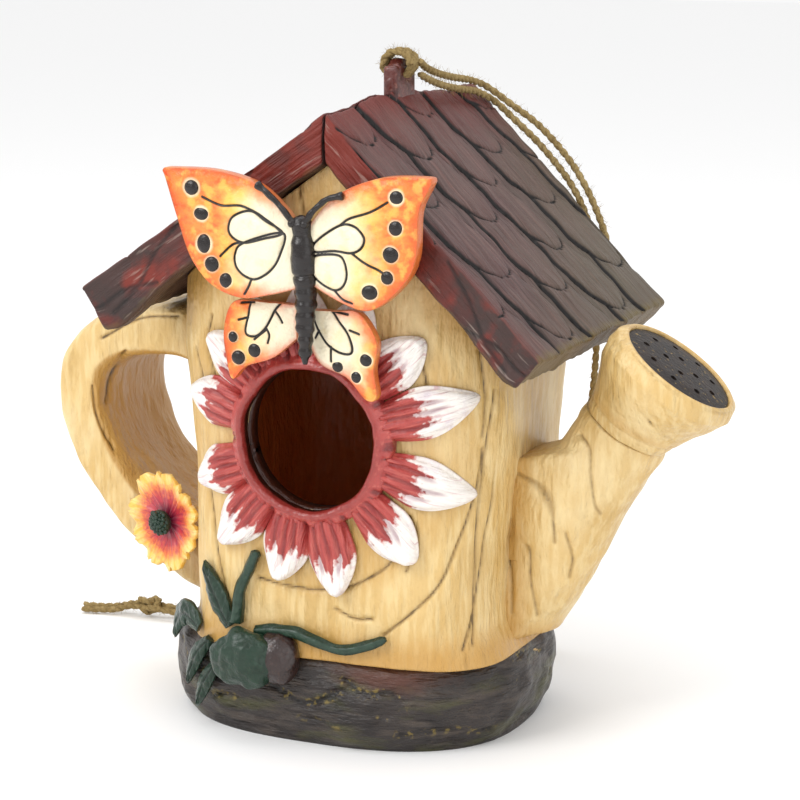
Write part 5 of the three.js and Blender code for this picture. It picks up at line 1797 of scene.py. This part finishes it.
def build_bloom(material):
    """One cupped, heart-tipped petal, repeated round the centre."""
    grid, faces = block(40, 30, 4)
    u, v, w = grid.T
    side = (v - 0.5) * 2
    reach = 1.5 + (BLOOM_RADIUS - 1.5) * u * (1 - 0.1 * smooth(np.abs(side), 0.35, 0.0) * u ** 4)
    half = 6.4 * np.minimum(0.16 + 1.05 * u, 1.0) * np.sqrt(
        np.maximum(1 - smooth(u, 0.55, 1.02) ** 1.8 * 0.78, 0.02))
    across = side * half
    radial = np.sqrt(np.maximum(reach ** 2 - 0.2 * across ** 2, 0.1))
    creases = 0.3 * (0.5 + 0.5 * np.cos(side * 11)) * smooth(u, 0.1, 0.4)
    cup = 1.6 + 3.6 * u ** 1.6 - 1.1 * side ** 2 * u
    skin = 1.3 + 1.1 * (1 - side ** 2) * (1 - 0.6 * u)
    ahead = cup - 2.0 + w * skin - creases * w
    source_points = np.stack([across, -ahead, radial], 1)
    values = {"out": u, "crease": creases * w}
    uv = np.stack([reach * MM, across * MM], 1)
    petal = mesh_object("bloom_petal", source_points, faces, values, uv)
    bloom = grown(petal, fan_tree(material), "small_flower_petals",
                  {"Petals": sizes().bloom_petals})
    move_points(bloom, turned_to_bloom)
    return bloom


def bloom_paint():
    """Magenta red centre streaking out through orange to yellow tips, glossy."""
    def layers(tree):
        streak = mottle(tree, 1.0, 0.4, 0.62, stretch=(11, 1, 1), space="UV")
        orange = mark(tree, "out", 0.86, 0.6, ragged=0.5, size=1.6)
        red = mark(tree, "out", 0.7, 0.42, ragged=0.55, size=1.5)
        return [(mottle(tree, 3.0, 0.4, 0.7), 0xF0C25A, 0.6),
                (orange, 0xEE7A34, 0.9), (both(tree, orange, streak), 0xE4552F, 0.6),
                (red, 0xC22B3E, 0.95), (both(tree, red, streak), 0x84173A, 0.7),
                (mark(tree, "out", 0.34, 0.18, ragged=0.2), 0x6B1530, 0.8),
                (both(tree, streak, mark(tree, "out", 0.6, 0.9)), 0xF7E9A8, 0.45)]
    return cast_resin("magenta and yellow flower paint", rgba(0xF2B83F), layers, roughness=0.32,
                      relief=lambda tree: [(mottle(tree, 0.9, 0.3, 0.7, stretch=(10, 1, 1),
                                                   space="UV"), 0.3)], coat=0.4)


def build_bloom_eye(tree):
    """A bumpy dome: a cluster of small beads on a low cushion."""
    places, radii = [], []
    for k in range(40):
        share = math.sqrt((k + 0.5) / 40)
        angle = k * 2.39996
        places.append((4.1 * share * math.cos(angle), -4.5 - 2.6 * math.sqrt(1 - share ** 2 * 0.9),
                       4.1 * share * math.sin(angle)))
        radii.append(0.72 + 0.12 * math.sin(k * 3.1))
    cluster = beads("small_flower_centre", places, radii, tree, 1.0)
    move_points(cluster, turned_to_bloom)
    cushion = build_egg("small_flower_cushion", (0, -4.6, 0), (4.3, 2.6, 4.3), 0.1, 91)
    move_points(cushion, turned_to_bloom)
    return cluster, cushion


def build_egg(name, centre, size, bumps, seed):
    """A rounded lump."""
    turn = np.linspace(0.03, np.pi - 0.03, 60)
    around = np.linspace(0, 2 * np.pi, 90, endpoint=False)
    ball = np.stack([np.outer(np.sin(turn), np.cos(around)), np.outer(np.sin(turn), np.sin(around)),
                     np.outer(np.cos(turn), np.ones(90))], 2)
    skin = ball * np.array(size, float)
    lumps = bumps * (0.7 * ripple(skin, 14, seed) + 0.4 * ripple(skin, 5, seed + 1))
    points, faces = drum(skin + ball * lumps[..., None] + np.array(centre, float))
    return mesh_object(name, points, faces)


LEAVES = {
    "leaf_upright": ([(-32, 37), (-37.5, 46), (-43, 57)], 4.2, 3.2),
    "leaf_side": ([(-46, 33.5), (-53, 36.5), (-58, 33), (-60, 26)], 4.2, 3.2),
    "leaf_long": ([(-41, 31), (-47, 24), (-51.5, 13)], 3.0, 2.8),
    "leaf_drooping": ([(-37.5, 24), (-43.5, 15), (-47.5, 6)], 2.8, 2.8),
}


def build_leaf(name, line, half_width, thick, seed):
    """A blade along a line, keeled, with side veins and a lifted tip."""
    grid, faces = block(70, 26, 5)
    u, v, w = grid.T
    side = (v - 0.5) * 2
    flat = resample(catmull(line), 200)
    at = u * 199
    centre = np.stack([np.interp(at, np.arange(200), flat[:, i]) for i in (0, 1)], 1)
    run = np.gradient(flat, axis=0)
    run /= np.linalg.norm(run, axis=1, keepdims=True)
    heading = np.stack([np.interp(at, np.arange(200), run[:, i]) for i in (0, 1)], 1)
    shape = np.maximum(np.sin(np.pi * (0.12 + 0.88 * u)), 0.02) ** 0.8
    across = side * half_width * shape * (1 - 0.06 * np.sin(u * 21) ** 2)
    x = centre[:, 0] - heading[:, 1] * across
    z = centre[:, 1] + heading[:, 0] * across
    keel = np.exp(-(side / 0.16) ** 2)
    veins = (0.5 + 0.5 * np.cos((u * 26 - np.abs(side) * 5))) ** 6 * (1 - keel) * 0.35
    crown = thick * (0.5 + 0.5 * (1 - side ** 2)) - 0.55 * keel - veins
    crown = crown * (0.35 + 0.65 * smooth(shape, 0.02, 0.4)) + 1.3 * u ** 3
    lie = ground_y(x, z)
    y = lie - 0.25 - w * crown - 0.9 * u ** 3 * (1 - w)
    points = np.stack([x, y, z], 1)
    points[:, 1] += 0.25 * ripple(points, 8, seed) * w
    values = {"keel": keel * (w > 0.7), "ridge": smooth(np.abs(side), 0.55, 1.0) * w}
    return mesh_object(name + "_blade", points, faces, values)


def build_stalk(name, line, radius, proud, seed):
    """A tapering stalk lying on the can."""
    flat = catmull(line)
    path = np.stack([flat[:, 0], ground_y(flat[:, 0], flat[:, 1]) - proud, flat[:, 1]], 1)
    for _ in range(6):
        path[1:-1, 1] = (path[:-2, 1] + path[1:-1, 1] + path[2:, 1]) / 3
    t = np.linspace(0, 1, 110)
    size = radius * (1 - 0.22 * t) * np.sqrt(np.clip(1 - smooth(t, 0.96, 1.0) * 0.7, 0.1, 1))
    skin, out = sweep(path, 110, 32, size, size)
    ridges = 0.12 * np.sin(np.linspace(0, 10 * np.pi, 32, endpoint=False))[None]
    skin = skin + out * (ridges + 0.2 * ripple(skin, 9, seed))[..., None]
    points, faces = drum(skin)
    values = {"ridge": with_poles(np.broadcast_to(smooth(-out[..., 1], 0.6, 1.0), skin.shape[:2]))}
    return mesh_object(name + "_stalk", points, faces, values)


def leaf_paint():
    """Dark green gloss paint, dry-brushed grey-green on the ridges."""
    def layers(tree):
        return [(mottle(tree, 6.0, 0.4, 0.7), 0x0F2417, 0.75),
                (mottle(tree, 2.2, 0.54, 0.7, shift=3.0), 0x2A4433, 0.45),
                (mark(tree, "ridge", 0.5, 1.4, ragged=1.0, size=2.0), 0x4E6857, 0.3),
                (mark(tree, "keel", 0.3, 0.8), 0x0D1B12, 0.7)]
    return cast_resin("dark green leaf paint", tone("leaf"), layers, roughness=0.3,
                      specular=0.3,
                      relief=[(2.4, 0.35)], coat=0.25)


def stone_paint():
    """Dark brown gloss paint on a small stone."""
    def layers(tree):
        return [(mottle(tree, 5.0, 0.4, 0.7), 0x241512, 0.8),
                (mottle(tree, 2.0, 0.56, 0.7, shift=3.0), 0x55392E, 0.45)]
    return cast_resin("dark brown stone paint", rgba(0x2A1814), layers, roughness=0.28,
                      relief=[(3.0, 0.4)], coat=0.25)


class BIRDHOUSE_OT_small_flower(bpy.types.Operator):
    """Make the small flower on the handle and its bumpy centre"""
    bl_idname = "birdhouse.small_flower"
    bl_label = "Small flower"

    def execute(self, context):
        paint, dark = bloom_paint(), leaf_paint()
        place_piece(build_bloom(paint), paint, "bloom_orange", "small_flower")
        cluster, cushion = build_bloom_eye(bead_tree(dark))
        place_piece(cluster, dark, "bloom_eye", "small_flower_eye")
        place_piece(cushion, dark, "bloom_eye")
        return {"FINISHED"}


class BIRDHOUSE_OT_plants(bpy.types.Operator):
    """Make the leaves, the stem, the vine, the bud and the stone"""
    bl_idname = "birdhouse.plants"
    bl_label = "Leaves and stem"

    def execute(self, context):
        green = leaf_paint()
        for seed, (name, (line, half_width, thick)) in enumerate(LEAVES.items()):
            blade = build_leaf(name, line, half_width, thick, 95 + seed)
            place_piece(blade, green, "leaf_green", name)
        stem = build_stalk("flower_stem", [(-29.5, 39), (-28.2, 48.5), (-25, 56), (-21.4, 63.5)],
                           2.2, 1.6, 101)
        vine = build_stalk("vine", [(-22, 37), (-10, 38.4), (-3, 37), (6.5, 34.6), (15, 36),
                                    (23.5, 39.8)], 2.0, 1.5, 102)
        place_piece(stem, green, "leaf_green", "flower_stem")
        place_piece(vine, green, "leaf_green", "vine")
        bud = build_egg("bud_lump", (-24.0, -56.0, 28.6), (12.0, 6.4, 9.8), 0.8, 103)
        place_piece(bud, green, "leaf_green", "leaf_bud")
        stone = build_egg("small_stone", (-14.0, -52.8, 29.5), (7.6, 6.0, 8.6), 0.6, 105)
        place_piece(stone, stone_paint(), "brown_stone", "brown_stone")
        return {"FINISHED"}


# ------------------------------------------------------------------ clean-out stopper
def stopper_rubber():
    """Matt brown rubber with a fine moulded grain."""
    def layers(tree):
        return [(mottle(tree, 7.0, 0.4, 0.7), 0x3A2B22, 0.6),
                (mottle(tree, 1.6, 0.55, 0.7, shift=3.0), 0x6E5848, 0.4)]
    return cast_resin("matt brown stopper rubber", rgba(0x4C3A2E), layers, roughness=0.75,
                      specular=0.3, relief=[(0.9, 0.12)])


def build_stopper():
    low, high = STOPPER_LOW, STOPPER_HIGH
    flange = (high[2] - low[2]) / 2
    back, outer = CAN_HALF_DEPTH, CAN_HALF_DEPTH + 2.9
    profile = [(0.4, back - 8), (13.6, back - 8), (14.9, back - 7.6), (15.4, back - 6.8),
               (15.5, back - 4), (15.3, back - 3.7), (15.3, back - 2.6), (15.5, back - 2.3),
               (15.5, back + 0.3), (flange - 0.7, back + 0.3), (flange, back + 0.9),
               (flange, outer - 0.9), (flange - 0.9, outer), (flange - 2.4, outer + 0.05),
               (flange - 3.0, outer - 0.5), (flange - 3.8, outer - 0.5), (flange - 4.4, outer),
               (8, outer + 0.2), (0.4, outer + 0.25)]
    line = resample(np.array(profile, float), 120)
    around = np.linspace(0, 2 * np.pi, 120, endpoint=False)
    rings = np.stack([CLEAN_OUT[0] + np.outer(line[:, 0], np.cos(around)),
                      line[:, 1:] * np.ones(120), CLEAN_OUT[1] + np.outer(line[:, 0],
                                                                         np.sin(around))], 2)
    points, faces = drum(rings)
    grid, tab_faces = block(10, 24, 40)
    half = np.array([2.0, (high[1] - outer) / 2 + 0.6, 9.0])
    tab, _ = soften((grid * 2 - 1) * half, half, 1.3)
    grip = 0.35 * np.cos(tab[:, 2] * 2.4) * (np.abs(tab[:, 0]) > 1.9) * (np.abs(tab[:, 2]) < 7)
    tab[:, 0] -= np.sign(tab[:, 0]) * np.maximum(grip, 0)
    tab = tab + [CLEAN_OUT[0], high[1] - half[1], CLEAN_OUT[1]]
    points, faces, _ = merged([(points, faces, {}), (tab, tab_faces, {})])
    return mesh_object("cleanout_stopper_moulded", points, faces)


class BIRDHOUSE_OT_stopper(bpy.types.Operator):
    """Make the rubber stopper that pulls out of the back"""
    bl_idname = "birdhouse.stopper"
    bl_label = "Clean-out stopper"

    def execute(self, context):
        place_piece(build_stopper(), stopper_rubber(), "stopper_rubber", "cleanout_stopper",
                    body=STOPPER)
        return {"FINISHED"}


# ------------------------------------------------------------------ panel and registration
OPERATORS = [BIRDHOUSE_OT_stage, BIRDHOUSE_OT_twine, BIRDHOUSE_OT_can, BIRDHOUSE_OT_roof,
             BIRDHOUSE_OT_rock, BIRDHOUSE_OT_spout, BIRDHOUSE_OT_entry_flower,
             BIRDHOUSE_OT_butterfly, BIRDHOUSE_OT_small_flower, BIRDHOUSE_OT_plants,
             BIRDHOUSE_OT_stopper]


class BIRDHOUSE_PT_panel(bpy.types.Panel):
    """Sizes, colours and the operators that make each piece"""
    bl_idname = "BIRDHOUSE_PT_panel"
    bl_label = "Birdhouse"
    bl_space_type = "VIEW_3D"
    bl_region_type = "UI"
    bl_category = "Birdhouse"

    def draw(self, context):
        for group in (context.scene.birdhouse_sizes, context.scene.birdhouse_colours):
            box = self.layout.box()
            for key in group.bl_rna.properties.keys():
                if key not in ("rna_type", "name"):
                    box.prop(group, key)
        for operator in OPERATORS:
            self.layout.operator(operator.bl_idname)


CLASSES = [BirdhouseSizes, BirdhouseColours, *OPERATORS, BIRDHOUSE_PT_panel]


def register():
    for cls in CLASSES:
        bpy.utils.register_class(cls)
    bpy.types.Scene.birdhouse_sizes = PointerProperty(type=BirdhouseSizes)
    bpy.types.Scene.birdhouse_colours = PointerProperty(type=BirdhouseColours)


def unregister():
    del bpy.types.Scene.birdhouse_colours
    del bpy.types.Scene.birdhouse_sizes
    for cls in reversed(CLASSES):
        bpy.utils.unregister_class(cls)


def main():
    register()
    for operator in OPERATORS:
        group, name = operator.bl_idname.split(".")
        getattr(getattr(bpy.ops, group), name)()


if __name__ == "__main__":
    main()
